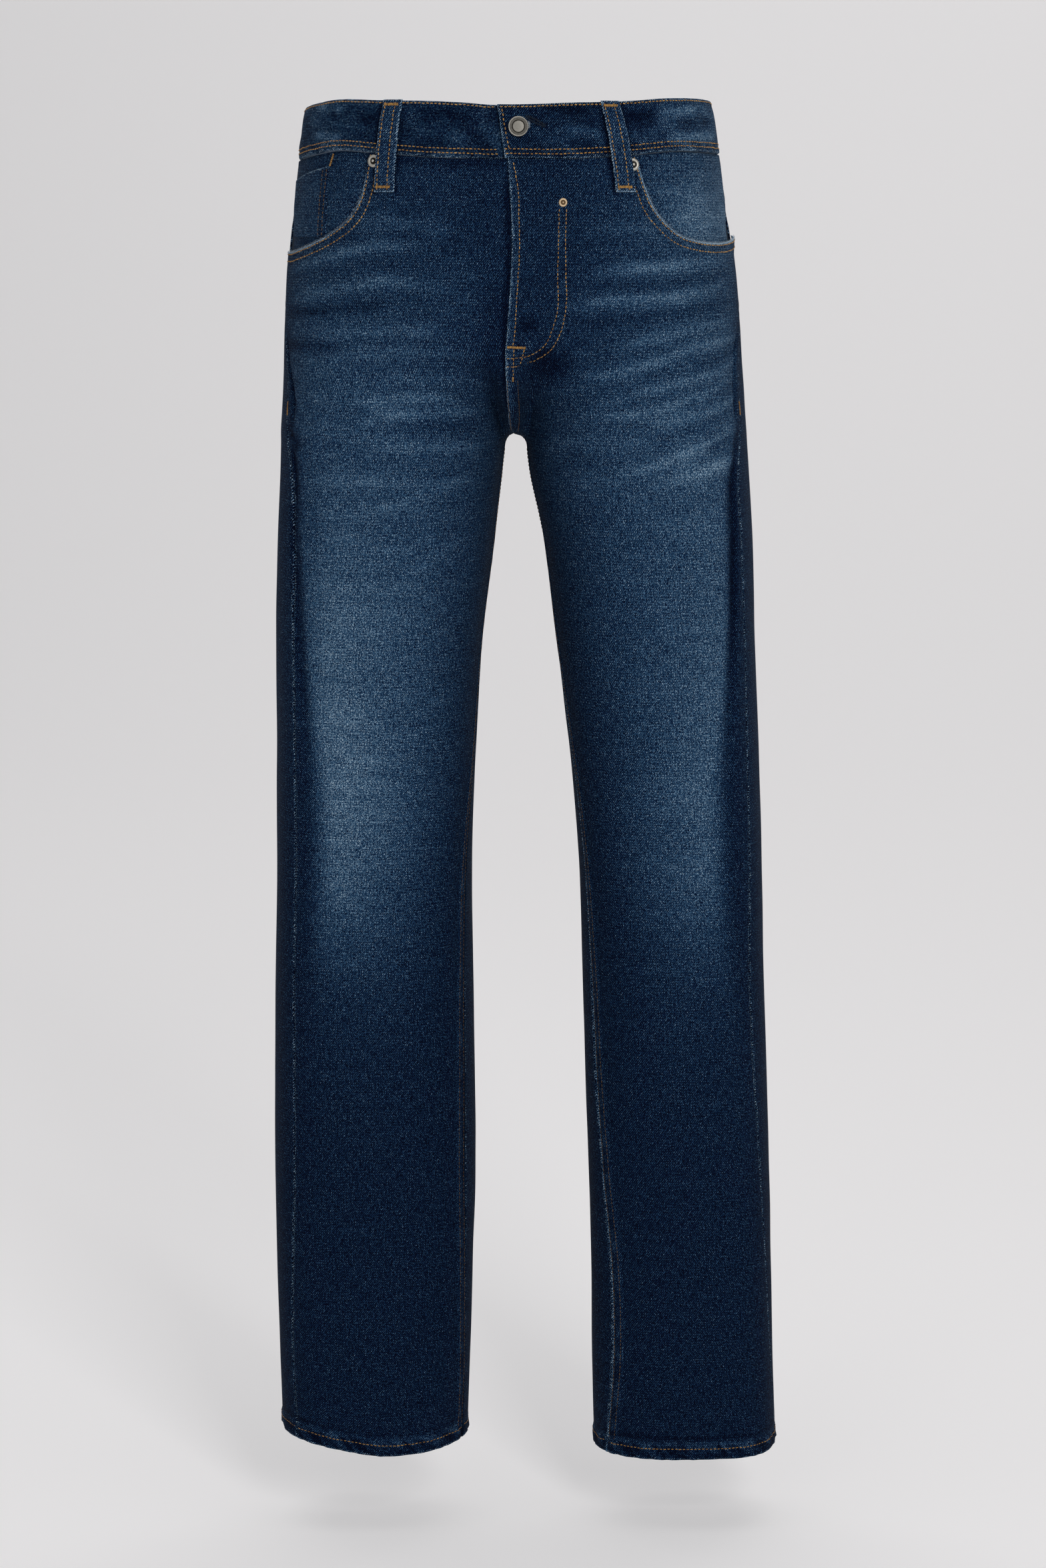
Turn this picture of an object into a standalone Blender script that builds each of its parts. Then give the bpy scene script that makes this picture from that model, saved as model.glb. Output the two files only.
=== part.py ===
"""Straight leg jeans, filled out as if worn, with nobody in them.

Frame: X towards the wearer's left, -Y to the front, +Z up. The origin is the middle of the
waistband ring. Tables and sizes are in millimetres, and the meshes in metres.

Every cloth piece is a wall on one skin. A place on the skin is (girth, height): girth runs round
the wearer's left side from 0 at the centre front, through 1 at the side seam, to 2 at the centre
back, and round the right side as 0, -1, -2. Below the fork, 0 and 2 are both the inseam.
"""
import math
from collections import namedtuple

import bmesh
import bpy
import numpy as np

MM = 0.001

# ---------------------------------------------------------------- driving sizes, millimetres
BLEND_TOP = -165.0         # foot of the fly, where the rise starts to curve under
SIDE_BLEND_TOP = -110.0    # at the side the trunk turns into the leg from here
FORK = -236.0              # the point where the four panels meet
ARCH_DROP = 8.0            # the legs part in a round arch this high
HEM = -1047.0
LEFT_DROP = 4.0            # the left hem hangs this much lower
DROP_FROM = -600.0         # and the drop starts here
HEM_TURN = 12.0            # height of the turned-up hem
TRUNK_CORNER = 2.4         # squareness of the trunk's section, 2 is an ellipse
LEG_CORNER = 2.3
CORNER_EXTRA = 0.6         # the front of the leg turns to the side in a firmer corner
PULL_REACH = 0.14          # how far from the seam, in girth, the arch's edge is drawn in
RISE_REACH = 0.16          # and how far the rise seam's own curve reaches
FORK_ROW = 6               # the sections' row at the fork
SEAM_HALF_GAP = 0.15       # half the gap between two pieces at a seam

DENIM = 1.5                # wall of one layer of denim
BAND_WALL = 3.0            # the waistband is folded double
BAND_LIFT = 0.8            # and stands a little proud of the panels
FACING_WALL = 1.2
BAG_WALL = 1.0
LAYER_GAP = 0.5            # between layers that lie on each other

# One row for each section, from the waistband to the hem: the middle edge of the half (the centre
# line above the fork, the inner side of the leg below it), its outer side, its front and back,
# and how far forward of the side the side seam and of the inner side the inseam lie, in degrees.
Section = namedtuple("Section", "height inner_x outer_x front_y back_y side_seam inseam")
RIGHT_HALF = (
    Section(19, 0, -155.5, -104, 102, -4, 0),
    Section(-19, 0, -161, -108, 108, -3, 0),
    Section(-60, 1, -165.5, -112, 118, -2, 0),
    Section(-100, 2, -170, -114, 129, 0, 0),
    Section(-150, -1, -173, -115, 138, 4, 0),
    Section(-195, -1, -175, -112, 136, 11, 0),
    Section(-236, -3, -177, -106, 122, 20, 0),
    Section(-262, -6, -178, -103, 111, 25, 0),
    Section(-310, -11, -180.5, -98, 100, 29, 2),
    Section(-390, -21, -182.5, -90, 88, 32, 5),
    Section(-480, -26, -183, -81, 77, 34, 14),
    Section(-560, -29, -184, -75, 70, 36, 22),
    Section(-650, -29, -186, -70, 64, 35, 24),
    Section(-740, -28, -187.5, -65, 60, 35, 24),
    Section(-820, -27.5, -188, -61, 58, 34, 23),
    Section(-900, -29.5, -187, -58, 56, 31, 20),
    Section(-960, -31, -186, -56, 55, 29, 18),
    Section(-1047, -34, -184, -55, 55, 30, 17),
)
LEFT_HALF = (
    Section(19, 0, 154.5, -104, 102, -4, 0),
    Section(-19, 0, 161.5, -108, 108, -4, 0),
    Section(-60, 1, 167, -112, 118, -3, 0),
    Section(-100, 2, 173.5, -114, 129, -2, 0),
    Section(-150, -1, 178.5, -115, 138, 2, 0),
    Section(-195, -1, 181.5, -112, 136, 8, 0),
    Section(-236, 13, 184, -106, 122, 15, 0),
    Section(-262, 16.5, 186, -103, 111, 20, 1),
    Section(-310, 26.5, 189.5, -98, 100, 22, 4),
    Section(-390, 36.5, 192, -90, 88, 23, 10),
    Section(-480, 47, 196, -81, 77, 26, 18),
    Section(-560, 54, 199, -75, 70, 28, 24),
    Section(-650, 58, 201.5, -70, 64, 30, 27),
    Section(-740, 60.5, 205, -65, 60, 27, 28),
    Section(-820, 63, 208, -61, 58, 22, 31),
    Section(-900, 65.5, 210.5, -58, 56, 17, 35),
    Section(-960, 66.5, 212.5, -56, 55, 12, 34),
    Section(-1047, 68, 215.5, -55, 55, 1, 26),
)
Centre = namedtuple("Centre", "height x")
CENTRE_LINE = (Centre(19, 0), Centre(-60, 1), Centre(-100, 2), Centre(-150, -1), Centre(-195, -1),
               Centre(-236, 4))

# Heights of the grid lines, closer where the skin bends: round the pocket, the rise and the arch.
PANEL_HEIGHTS = (-42, -62, -80, -96, -110, -133, -155, -178, -188, -198, -213, -224, -231, -234.6,
                 -235.7, -236, -237, -239.5, -244, -262, -300, -360, -440, -540, -650, -770,
                 -900, -1033.5, -1036)

# The two edges of the waistband, all round: the cloth has settled into slight waves.
BandEdge = namedtuple("BandEdge", "girth top seam")
BAND_EDGES = (
    BandEdge(-2.0, 17.0, -22.0), BandEdge(-1.4, 15.0, -24.0), BandEdge(-0.9, 12.3, -25.7),
    BandEdge(-0.76, 15.0, -23.0), BandEdge(-0.65, 17.0, -20.3), BandEdge(-0.5, 15.8, -22.8),
    BandEdge(-0.34, 15.0, -25.7), BandEdge(0.0, 12.3, -27.0), BandEdge(0.27, 13.7, -27.0),
    BandEdge(0.46, 15.0, -24.3), BandEdge(0.61, 17.7, -21.0), BandEdge(0.78, 18.3, -21.2),
    BandEdge(1.0, 16.5, -22.0), BandEdge(1.5, 16.0, -23.0), BandEdge(2.0, 17.0, -22.0),
)

# The scoop of a front pocket: it leaves the waist seam at the first row and runs out at the side.
Scoop = namedtuple("Scoop", "girth height")
RIGHT_SCOOP = (Scoop(0.530, -22), Scoop(0.546, -50), Scoop(0.585, -69), Scoop(0.66, -82),
               Scoop(0.75, -90.5), Scoop(0.85, -95.7), Scoop(0.93, -96.5), Scoop(1.0, -96.5))
LEFT_SCOOP = (Scoop(0.477, -24), Scoop(0.503, -48), Scoop(0.538, -67), Scoop(0.60, -82),
              Scoop(0.67, -87.7), Scoop(0.76, -89.3), Scoop(0.86, -87.8), Scoop(1.0, -84))

# ---------------------------------------------------------------- the skin


def read_table(places, values, at):
    """A smooth curve through (places, values): cubic pieces whose slope at each row is the slope
    between its two neighbours. Places increase."""
    places, values = np.asarray(places, float), np.asarray(values, float)
    at = np.clip(np.asarray(at, float), places[0], places[-1])
    slope = np.gradient(values, places)
    i = np.clip(np.searchsorted(places, at) - 1, 0, len(places) - 2)
    step = places[i + 1] - places[i]
    u = (at - places[i]) / step
    return ((2 * u ** 3 - 3 * u ** 2 + 1) * values[i] + (u ** 3 - 2 * u ** 2 + u) * step * slope[i]
            + (3 * u ** 2 - 2 * u ** 3) * values[i + 1] + (u ** 3 - u ** 2) * step * slope[i + 1])


def column(rows, name, at, key="height", order=-1):
    """One column of a table of named rows, read at any height; or at any other key that grows
    down the table, with order 1."""
    places = [order * getattr(row, key) for row in rows]
    return read_table(places, [getattr(row, name) for row in rows], order * np.asarray(at, float))


def smooth_step(start, end, value):
    """0 at start and 1 at end, with level ends."""
    u = np.clip((np.asarray(value, float) - start) / (end - start), 0, 1)
    return u * u * (3 - 2 * u)


def rounded_section(angle, half_width, front, back, corner):
    """A point on a rounded section: the radius at a polar angle (0 outwards, 90 degrees to the
    front) is that of a superellipse whose half depth is front or back."""
    cosine, sine = np.cos(angle), np.sin(angle)
    depth = np.where(sine > 0, front, back)
    radius = (np.abs(cosine / half_width) ** corner + np.abs(sine / depth) ** corner) ** (-1 / corner)
    return radius * cosine, -radius * sine


def half_skin(half, sign, leg_drop, turn, height):
    """The skin of one half in millimetres. turn is 0 at the centre front, 1 at the side seam and
    2 at the centre back. The trunk's section is blended into the leg's: at the centre along a
    quarter ellipse, which draws the rise seam down and under to the fork, and smoothly from
    near the centre to the side. Beside the seam the leg's inner side is pulled to the centre
    line, and lets go of it below the fork in a round arch."""
    centre = column(CENTRE_LINE, "x", height)
    outer, inner = column(half, "outer_x", height), column(half, "inner_x", height)
    front, back = -column(half, "front_y", height), column(half, "back_y", height)
    side_seam = np.radians(column(half, "side_seam", height))
    inseam = np.radians(column(half, "inseam", height))
    from_centre = np.minimum(turn, 2 - turn)
    on_front = turn <= 1

    trunk_angle = np.where(on_front, math.pi / 2 + (side_seam - math.pi / 2) * turn,
                           side_seam + (-math.pi / 2 - side_seam) * (turn - 1))
    trunk_x, trunk_y = rounded_section(trunk_angle, np.abs(outer - centre), front, back, TRUNK_CORNER)
    trunk_x = centre + sign * trunk_x

    inner = np.where(height > FORK, half[FORK_ROW].inner_x, inner)
    start = math.pi - inseam
    leg_angle = np.where(on_front, start + (side_seam - start) * turn,
                         side_seam + (start - 2 * math.pi - side_seam) * (turn - 1))
    in_front_corner = (leg_angle > 0) & (leg_angle < math.pi / 2)
    corner = LEG_CORNER + np.where(in_front_corner, CORNER_EXTRA * np.sin(2 * leg_angle) ** 2, 0)
    leg_x, leg_y = rounded_section(leg_angle, np.abs(outer - inner) / 2, front, back, corner)
    leg_x = (outer + inner) / 2 + sign * leg_x
    below = np.clip((FORK - height) / ARCH_DROP, 0, 1)
    pull = (1 - np.sqrt(1 - (1 - below) ** 2)) * (1 - smooth_step(0, PULL_REACH, from_centre))
    leg_x = leg_x + (centre + sign * SEAM_HALF_GAP - inner) * pull

    sunk = np.clip((BLEND_TOP - height) / (BLEND_TOP - FORK), 0, 1)
    blend_top = BLEND_TOP + (SIDE_BLEND_TOP - BLEND_TOP) * smooth_step(0.1, 1, from_centre)
    off_centre = smooth_step(0, RISE_REACH, from_centre)
    share = ((1 - np.sqrt(1 - sunk ** 2)) * (1 - off_centre)
             + smooth_step(0, 1, (blend_top - height) / (blend_top - FORK)) * off_centre)
    longer = leg_drop * smooth_step(DROP_FROM, HEM, height)
    return np.stack([trunk_x + (leg_x - trunk_x) * share,
                     trunk_y + (leg_y - trunk_y) * share,
                     height - longer], axis=-1)


def wrap(girth):
    """Girth brought back between -2 and 2, as it may run past the centre back."""
    girth = np.asarray(girth, float)
    return np.where(girth > 2, girth - 4, np.where(girth < -2, girth + 4, girth))


def skin(girth, height, turn_step=0.0, height_step=0.0):
    """The skin at any girth. The steps move the place further round its own half and up."""
    girth, height = np.broadcast_arrays(wrap(girth), np.asarray(height, float))
    turn = np.clip(np.abs(girth) + turn_step, 0, 2)
    left = half_skin(LEFT_HALF, 1, LEFT_DROP, turn, height + height_step)
    right = half_skin(RIGHT_HALF, -1, 0.0, turn, height + height_step)
    return np.where((girth >= 0)[..., None], left, right)


def lifted(girth, height, lift):
    """The skin moved out along its normal, in millimetres. The normal is the cross product of
    the skin's two slopes, which are taken on the place's own half."""
    along = skin(girth, height, turn_step=0.004) - skin(girth, height, turn_step=-0.004)
    along = np.where((wrap(girth) >= 0)[..., None], along, -along)
    down = skin(girth, height, height_step=-0.4) - skin(girth, height, height_step=0.4)
    normal = np.cross(down, along)
    normal /= np.linalg.norm(normal, axis=-1, keepdims=True)
    return skin(girth, height) + normal * np.asarray(lift, float)[..., None]


# ---------------------------------------------------------------- materials and solids


def finish(name, colour, roughness, metallic=0.0):
    """A plain Principled material."""
    material = bpy.data.materials.new(name)
    material.use_nodes = True
    shader = material.node_tree.nodes["Principled BSDF"]
    shader.inputs["Base Color"].default_value = (*colour, 1)
    shader.inputs["Roughness"].default_value = roughness
    shader.inputs["Metallic"].default_value = metallic
    material.diffuse_color = (*colour, 1)
    return material


def add_object(name, points, faces, material):
    """A mesh object from points in millimetres, its faces turned outwards."""
    mesh = bpy.data.meshes.new(name)
    mesh.from_pydata((np.asarray(points).reshape(-1, 3) * MM).tolist(), [], faces)
    shape = bmesh.new()
    shape.from_mesh(mesh)
    bmesh.ops.recalc_face_normals(shape, faces=shape.faces)
    if shape.calc_volume(signed=True) < 0:
        bmesh.ops.reverse_faces(shape, faces=shape.faces)
    bmesh.ops.triangulate(shape, faces=shape.faces)
    shape.to_mesh(mesh)
    shape.free()
    mesh.materials.append(material)
    mesh.shade_smooth()
    mesh.set_sharp_from_angle(angle=math.radians(35))
    thing = bpy.data.objects.new(name, mesh)
    bpy.context.collection.objects.link(thing)
    return thing


def wall_between(name, outside, inside, material):
    """A closed wall between two grids of points of the same size, closed along its four edges."""
    rows, columns = outside.shape[:2]
    index = np.arange(rows * columns).reshape(rows, columns)
    behind = index + rows * columns
    quads = []
    for i in range(rows - 1):
        for j in range(columns - 1):
            quads.append((index[i, j], index[i, j + 1], index[i + 1, j + 1], index[i + 1, j]))
            quads.append((behind[i, j], behind[i + 1, j], behind[i + 1, j + 1], behind[i, j + 1]))
    rim = list(index[0, :]) + list(index[1:, -1]) + list(index[-1, -2::-1]) + list(index[-2:0:-1, 0])
    hidden = rows * columns
    for here, there in zip(rim, rim[1:] + rim[:1]):
        quads.append((here, here + hidden, there + hidden, there))
    quads = [tuple(int(corner) for corner in quad) for quad in quads]
    points = np.concatenate([outside.reshape(-1, 3), inside.reshape(-1, 3)])
    return add_object(name, points, quads, material)


def cloth(name, girth, height, lift, wall, material):
    """A piece of cloth: a wall whose outside is the skin lifted by lift, on grids of girth and
    height. lift and wall may be numbers or grids."""
    girth, height = np.broadcast_arrays(np.asarray(girth, float), np.asarray(height, float))
    lift = np.broadcast_to(np.asarray(lift, float), girth.shape)
    outside = lifted(girth, height, lift)
    inside = lifted(girth, height, lift - wall)
    return wall_between(name, outside, inside, material)


def turned(name, profile, girth, height, lift, steps, material):
    """A turned piece that stands on the skin: profile is (radius, rise) from its top centre to
    its foot centre, spun round the skin's normal at (girth, height)."""
    foot = lifted(girth, height, lift)
    axis = lifted(girth, height, lift + 1.0) - foot
    across = np.cross(axis, (0, 0, 1))
    across /= np.linalg.norm(across)
    up = np.cross(across, axis)
    points = [foot + axis * profile[0][1]]
    for radius, rise in profile[1:-1]:
        for k in range(steps):
            turn = 2 * math.pi * k / steps
            points.append(foot + axis * rise
                          + (across * math.cos(turn) + up * math.sin(turn)) * radius)
    points.append(foot + axis * profile[-1][1])
    rings = len(profile) - 2
    faces = []
    for k in range(steps):
        following = (k + 1) % steps
        faces.append((0, 1 + k, 1 + following))
        for ring in range(rings - 1):
            a, b = 1 + ring * steps, 1 + (ring + 1) * steps
            faces.append((a + k, b + k, b + following, a + following))
        last = 1 + (rings - 1) * steps
        faces.append((len(points) - 1, last + following, last + k))
    return add_object(name, np.array(points), faces, material)


# ---------------------------------------------------------------- pieces
SEAM = 0.0010              # half a seam's gap, in girth
LEVEL_FROM = -110.0        # grid lines follow a piece's top edge above this, and are level below


def spread(start, end, count):
    """count places from start to end."""
    return np.linspace(start, end, count)


def grid_heights(top, foot=HEM):
    """Grid heights from top to foot, on the lines that every piece shares."""
    return np.array([top] + [h for h in PANEL_HEIGHTS if foot + 1 < h < top - 1] + [foot])


def band_seam(girth):
    """Height of the waist seam."""
    return column(BAND_EDGES, "seam", wrap(girth), key="girth", order=1)


def under_edge(top, girth, foot=HEM):
    """A grid of heights under a curved top edge: the lines above LEVEL_FROM are squeezed in
    between the edge and it."""
    level = grid_heights(-22.0, foot)[:, None] * np.ones_like(girth)
    share = (level - LEVEL_FROM) / (level[0, 0] - LEVEL_FROM)
    return np.where(level > LEVEL_FROM, LEVEL_FROM + (top - LEVEL_FROM) * share, level)


def denim_wall(height):
    """One layer of denim, and two more in the turned-up hem."""
    return np.where(height < HEM + HEM_TURN, 2 * DENIM, DENIM)


def scoop_height(scoop, turn):
    """Height of the pocket's edge; before the scoop it is above the waist seam."""
    edge = column(scoop, "height", turn, key="girth", order=1)
    return np.where(turn < scoop[0].girth, 0.0, edge)


def front_panel(name, sign, scoop, material):
    """A front: from the fly to the side seam, under the waist seam and the pocket's scoop."""
    turn = np.concatenate([spread(SEAM, scoop[0].girth - 0.004, 5), [s.girth for s in scoop[:-1]],
                           [1 - SEAM]])[None, :]
    seam = band_seam(sign * turn) - 2 * SEAM_HALF_GAP
    height = under_edge(np.minimum(seam, scoop_height(scoop, turn)), turn)
    return cloth(name, sign * turn, height, 0.0, denim_wall(height), material)


POCKET_TOP = -88.0
POCKET_INSIDE = (57.0, 61.0)   # how far its inner side is from the middle plane, mouth and foot
POCKET_WIDTH = (127.0, 113.0)  # and its width round the skin, mouth and foot
POCKET_TILT = 6.0          # the mouth's inner end is this much higher, and its side end lower
POCKET_CORNER = -217.0     # height of its two lower corners
POCKET_POINT = 13.0        # and how far the blunt point lies below them
POCKET_GAP = 1.6           # a back pocket spans the flat facets of a rounder back
YOKE_SIDE = -48.0          # height of the yoke's seam at the side
YOKE_CENTRE = -84.0        # and at the centre back
BACK_COLUMNS = spread(1 + SEAM, 2 - SEAM, 12)[None, :]


def yoke_seam(turn):
    """Height of the yoke's seam: it falls from the side seam to the centre back."""
    return YOKE_SIDE + (YOKE_CENTRE - YOKE_SIDE) * (turn - 1)


def back_panel(name, sign, material):
    """A back: from the yoke's seam to the hem."""
    height = under_edge(yoke_seam(BACK_COLUMNS) - 2 * SEAM_HALF_GAP, BACK_COLUMNS)
    return cloth(name, sign * BACK_COLUMNS, height, 0.0, denim_wall(height), material)


def yoke(name, sign, material):
    """The yoke between the waistband and the back."""
    top = band_seam(sign * BACK_COLUMNS) - 2 * SEAM_HALF_GAP
    height = top + (yoke_seam(BACK_COLUMNS) - top) * spread(0, 1, 4)[:, None]
    return cloth(name, sign * BACK_COLUMNS, height, 0.0, DENIM, material)


COIN_WALL = 1.0
FACING_LIFT = -(DENIM + LAYER_GAP + COIN_WALL + LAYER_GAP)   # under the front and the coin pocket
FACING_MARGIN = 0.05       # how far, in girth, a facing runs on behind the front


def facing_lift(turn, height):
    """The facing lies under the front, and comes out to the skin at the side seam above the
    scoop's lowest point."""
    near_side = smooth_step(0.84, 1.0, turn)
    above = smooth_step(-84.0, -58.0, height)
    return FACING_LIFT * (1 - near_side * above)


def pocket_facing(name, sign, scoop, material):
    """The denim behind a front pocket's opening."""
    start = scoop[0].girth - FACING_MARGIN
    turn = np.array([start] + [row.girth for row in scoop[:-1]] + [1 - SEAM])[None, :]
    height = under_edge(band_seam(sign * turn) - 2 * SEAM_HALF_GAP, turn, LEVEL_FROM)
    return cloth(name, sign * turn, height, facing_lift(turn, height), FACING_WALL, material)


COIN_COLUMNS = (0.683, 0.75, 0.80, 0.85, 0.93)    # girths of its grid lines on the right front
COIN_MOUTH = -32.0         # height of the mouth at its inner end
COIN_MOUTH_SLOPE = -40.0   # and its fall over one girth
COIN_FOOT = -85.0
COIN_LIFT = 1.4            # from the facing's face to the coin pocket's


def coin_pocket(name, material):
    """The small pocket on the right facing; its mouth dips towards the side."""
    turn = np.array(COIN_COLUMNS)[None, :]
    mouth = COIN_MOUTH + COIN_MOUTH_SLOPE * (turn - COIN_COLUMNS[0])
    height = under_edge(mouth, turn, COIN_FOOT)
    return cloth(name, -turn, height, facing_lift(turn, height) + COIN_LIFT, COIN_WALL, material)


# The two upright edges of a piece, in girth, at a few heights.
Sides = namedtuple("Sides", "height start end")
BAG_SIDES = (Sides(-22, 0.40, 0.96), Sides(-120, 0.36, 0.953), Sides(-175, 0.42, 0.95),
             Sides(-212, 0.46, 0.80))
BAG_FOOT = -213.0
BAG_GAP = 1.4              # behind the facing, whose facets are narrower than the bag's
HIDDEN_TOP = -29.0         # the pieces behind the fronts start just under the waistband
HIDDEN_COLUMNS = 7


def between_sides(sides, height, columns):
    """A grid of girths between a piece's two upright edges."""
    places = [-row.height for row in sides]
    start = np.interp(-height, places, [row.start for row in sides])
    end = np.interp(-height, places, [row.end for row in sides])
    return start + (end - start) * spread(0, 1, columns)[None, :]


def pocket_bag(name, sign, material):
    """A front pocket's bag of thin cotton, lying against the inside of the front."""
    height = grid_heights(HIDDEN_TOP, BAG_FOOT)[:, None]
    girth = between_sides(BAG_SIDES, height, HIDDEN_COLUMNS)
    lift = FACING_LIFT - FACING_WALL - BAG_GAP
    return cloth(name, sign * girth, height, lift, BAG_WALL, material)


def pocket_row(sign, height, columns):
    """Girths across a back pocket at one height. The inner side is a straight line as seen from
    behind, and the other side is the pocket's width away, measured round the skin."""
    turn = spread(1.1, 1.9, 161)
    line = skin(sign * turn, height)[:, :2]
    run = np.append(0, np.cumsum(np.linalg.norm(np.diff(line, axis=0), axis=1)))
    down = (POCKET_TOP - height) / (POCKET_TOP - POCKET_CORNER)
    offset = np.minimum.accumulate(np.abs(line[:, 0]))
    inner = np.interp(-np.interp(down, (0, 1), POCKET_INSIDE), -offset, turn)
    outer_run = np.interp(inner, turn, run) - np.interp(down, (0, 1), POCKET_WIDTH)
    return spread(np.interp(outer_run, run, turn), inner, columns)


def back_pocket(name, sign, material):
    """A plain patch pocket: its sides close in slightly and its foot comes to a blunt point. It
    is drawn on the back's own grid lines."""
    across = spread(-1, 1, 9)[None, :]
    rows = grid_heights(POCKET_TOP, POCKET_CORNER + 4)
    upright = rows[:, None] * np.ones_like(across)
    turn = np.array([pocket_row(sign, height, 9) for height in rows])
    upright[0] += POCKET_TILT * across[0]
    foot = POCKET_CORNER - POCKET_POINT * (1 - np.abs(across))
    height = np.vstack([upright, foot])
    turn = np.vstack([turn, turn[-1:]])
    return cloth(name, sign * turn, height, POCKET_GAP + DENIM, DENIM, material)


BAND_START = -0.050        # the left end of the waistband, just past the centre front
BAND_SLANT = 0.032         # and how much less at its lower corner
BAND_RAMP = 3.80           # girth, counted on round the left, where the right end starts to dive
BAND_UNDER = 3.93          # and where it lies fully behind the left end
UNDERLAP_END = 4.24
UNDERLAP_GAP = 0.6


def waistband(name, material):
    """One folded strip, once round the waist. Its right end dives under its left end, which
    carries the buttonhole, and runs on behind it."""
    run = np.concatenate([[0.0], spread(0.1, 1.0, 11), spread(1.1, 2.9, 21),
                          spread(3.0, BAND_RAMP, 9), spread(3.84, BAND_UNDER, 3),
                          spread(4.0, UNDERLAP_END, 4)])
    share = spread(0, 1, 4)[:, None]
    start = np.where(run == 0, BAND_START + BAND_SLANT * share, run[None, :])
    girth = np.where(start > 2, start - 4, start)
    top = column(BAND_EDGES, "top", girth, key="girth", order=1)
    height = top + (band_seam(girth) - top) * share
    under = smooth_step(BAND_RAMP, BAND_UNDER, run)
    lift = BAND_LIFT - (BAND_WALL + UNDERLAP_GAP) * under
    return cloth(name, girth, height, lift[None, :], BAND_WALL, material)


# A belt loop from its top to its foot: the share of its length and the rise off its seat.
Bend = namedtuple("Bend", "share rise")
LOOP_BENDS = (Bend(0.0, 0.0), Bend(0.08, 0.2), Bend(0.16, 1.9), Bend(0.28, 3.0), Bend(0.5, 3.3),
              Bend(0.72, 3.0), Bend(0.84, 1.9), Bend(0.92, 0.2), Bend(1.0, 0.0))
LOOP_FOOT = -52.0
LOOP_WIDTH = 14.0
LOOP_WALL = 1.6
LOOP_OVER_TOP = 0.4        # its top edge stands this far over the waistband's
BACK_LOOP = 1.36           # girth of the loops beside the centre back one


def belt_loop(name, top_girth, foot_girth, material):
    """A belt loop: a strip that lies on the waistband at its two ends and stands off it between
    them, so that a belt passes under it."""
    share = np.array([bend.share for bend in LOOP_BENDS])[:, None]
    rise = np.array([bend.rise for bend in LOOP_BENDS])[:, None]
    top = column(BAND_EDGES, "top", wrap(top_girth), key="girth", order=1) + LOOP_OVER_TOP
    height = top + (LOOP_FOOT - top) * share
    middle = top_girth + (foot_girth - top_girth) * share
    reach = np.linalg.norm(skin(middle + 0.01, height) - skin(middle, height), axis=-1) * 100
    girth = middle + spread(-0.5, 0.5, 3)[None, :] * LOOP_WIDTH / reach
    seat = LAYER_GAP + BAND_LIFT * smooth_step(-44.0, -28.0, height)
    return cloth(name, girth, height, seat + rise + LOOP_WALL, LOOP_WALL, material)


SHIELD_SIDES = (Sides(-22, -0.09, 0.215), Sides(-150, -0.09, 0.20), Sides(-182, -0.09, 0.10))
SHIELD_FOOT = -178.0
ZIP_SIDES = (Sides(-22, 0.015, 0.15), Sides(-182, 0.015, 0.15))
ZIP_FOOT = -155.0
ZIP_WALL = 1.0


def zip_tape(name, material):
    """The closed zip, as one strip behind the fly."""
    height = grid_heights(HIDDEN_TOP, ZIP_FOOT)[:, None]
    girth = between_sides(ZIP_SIDES, height, 5)
    return cloth(name, girth, height, -(DENIM + LAYER_GAP), ZIP_WALL, material)


def fly_shield(name, material):
    """The underlap sewn to the right front, behind the zip."""
    height = grid_heights(HIDDEN_TOP, SHIELD_FOOT)[:, None]
    girth = between_sides(SHIELD_SIDES, height, HIDDEN_COLUMNS)
    lift = -(DENIM + LAYER_GAP + ZIP_WALL + LAYER_GAP)
    return cloth(name, girth, height, lift, DENIM, material)


# Half outlines of the turned metal pieces, from the top centre to the foot centre.
Turning = namedtuple("Turning", "radius rise")
BUTTON = (Turning(0, 3.3), Turning(4.2, 3.3), Turning(5.0, 2.8), Turning(6.6, 3.4),
          Turning(7.5, 2.6), Turning(7.2, 1.6), Turning(4.0, 1.0), Turning(4.0, 0), Turning(0, 0))
POCKET_RIVET = (Turning(0, 1.9), Turning(1.7, 1.7), Turning(2.0, 0.9), Turning(3.9, 1.0),
                Turning(4.7, 0.4), Turning(4.7, 0), Turning(0, 0))
FLY_RIVET = (Turning(0, 1.4), Turning(1.3, 1.3), Turning(1.5, 0.8), Turning(2.8, 0.8),
             Turning(3.3, 0.3), Turning(3.3, 0), Turning(0, 0))


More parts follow.
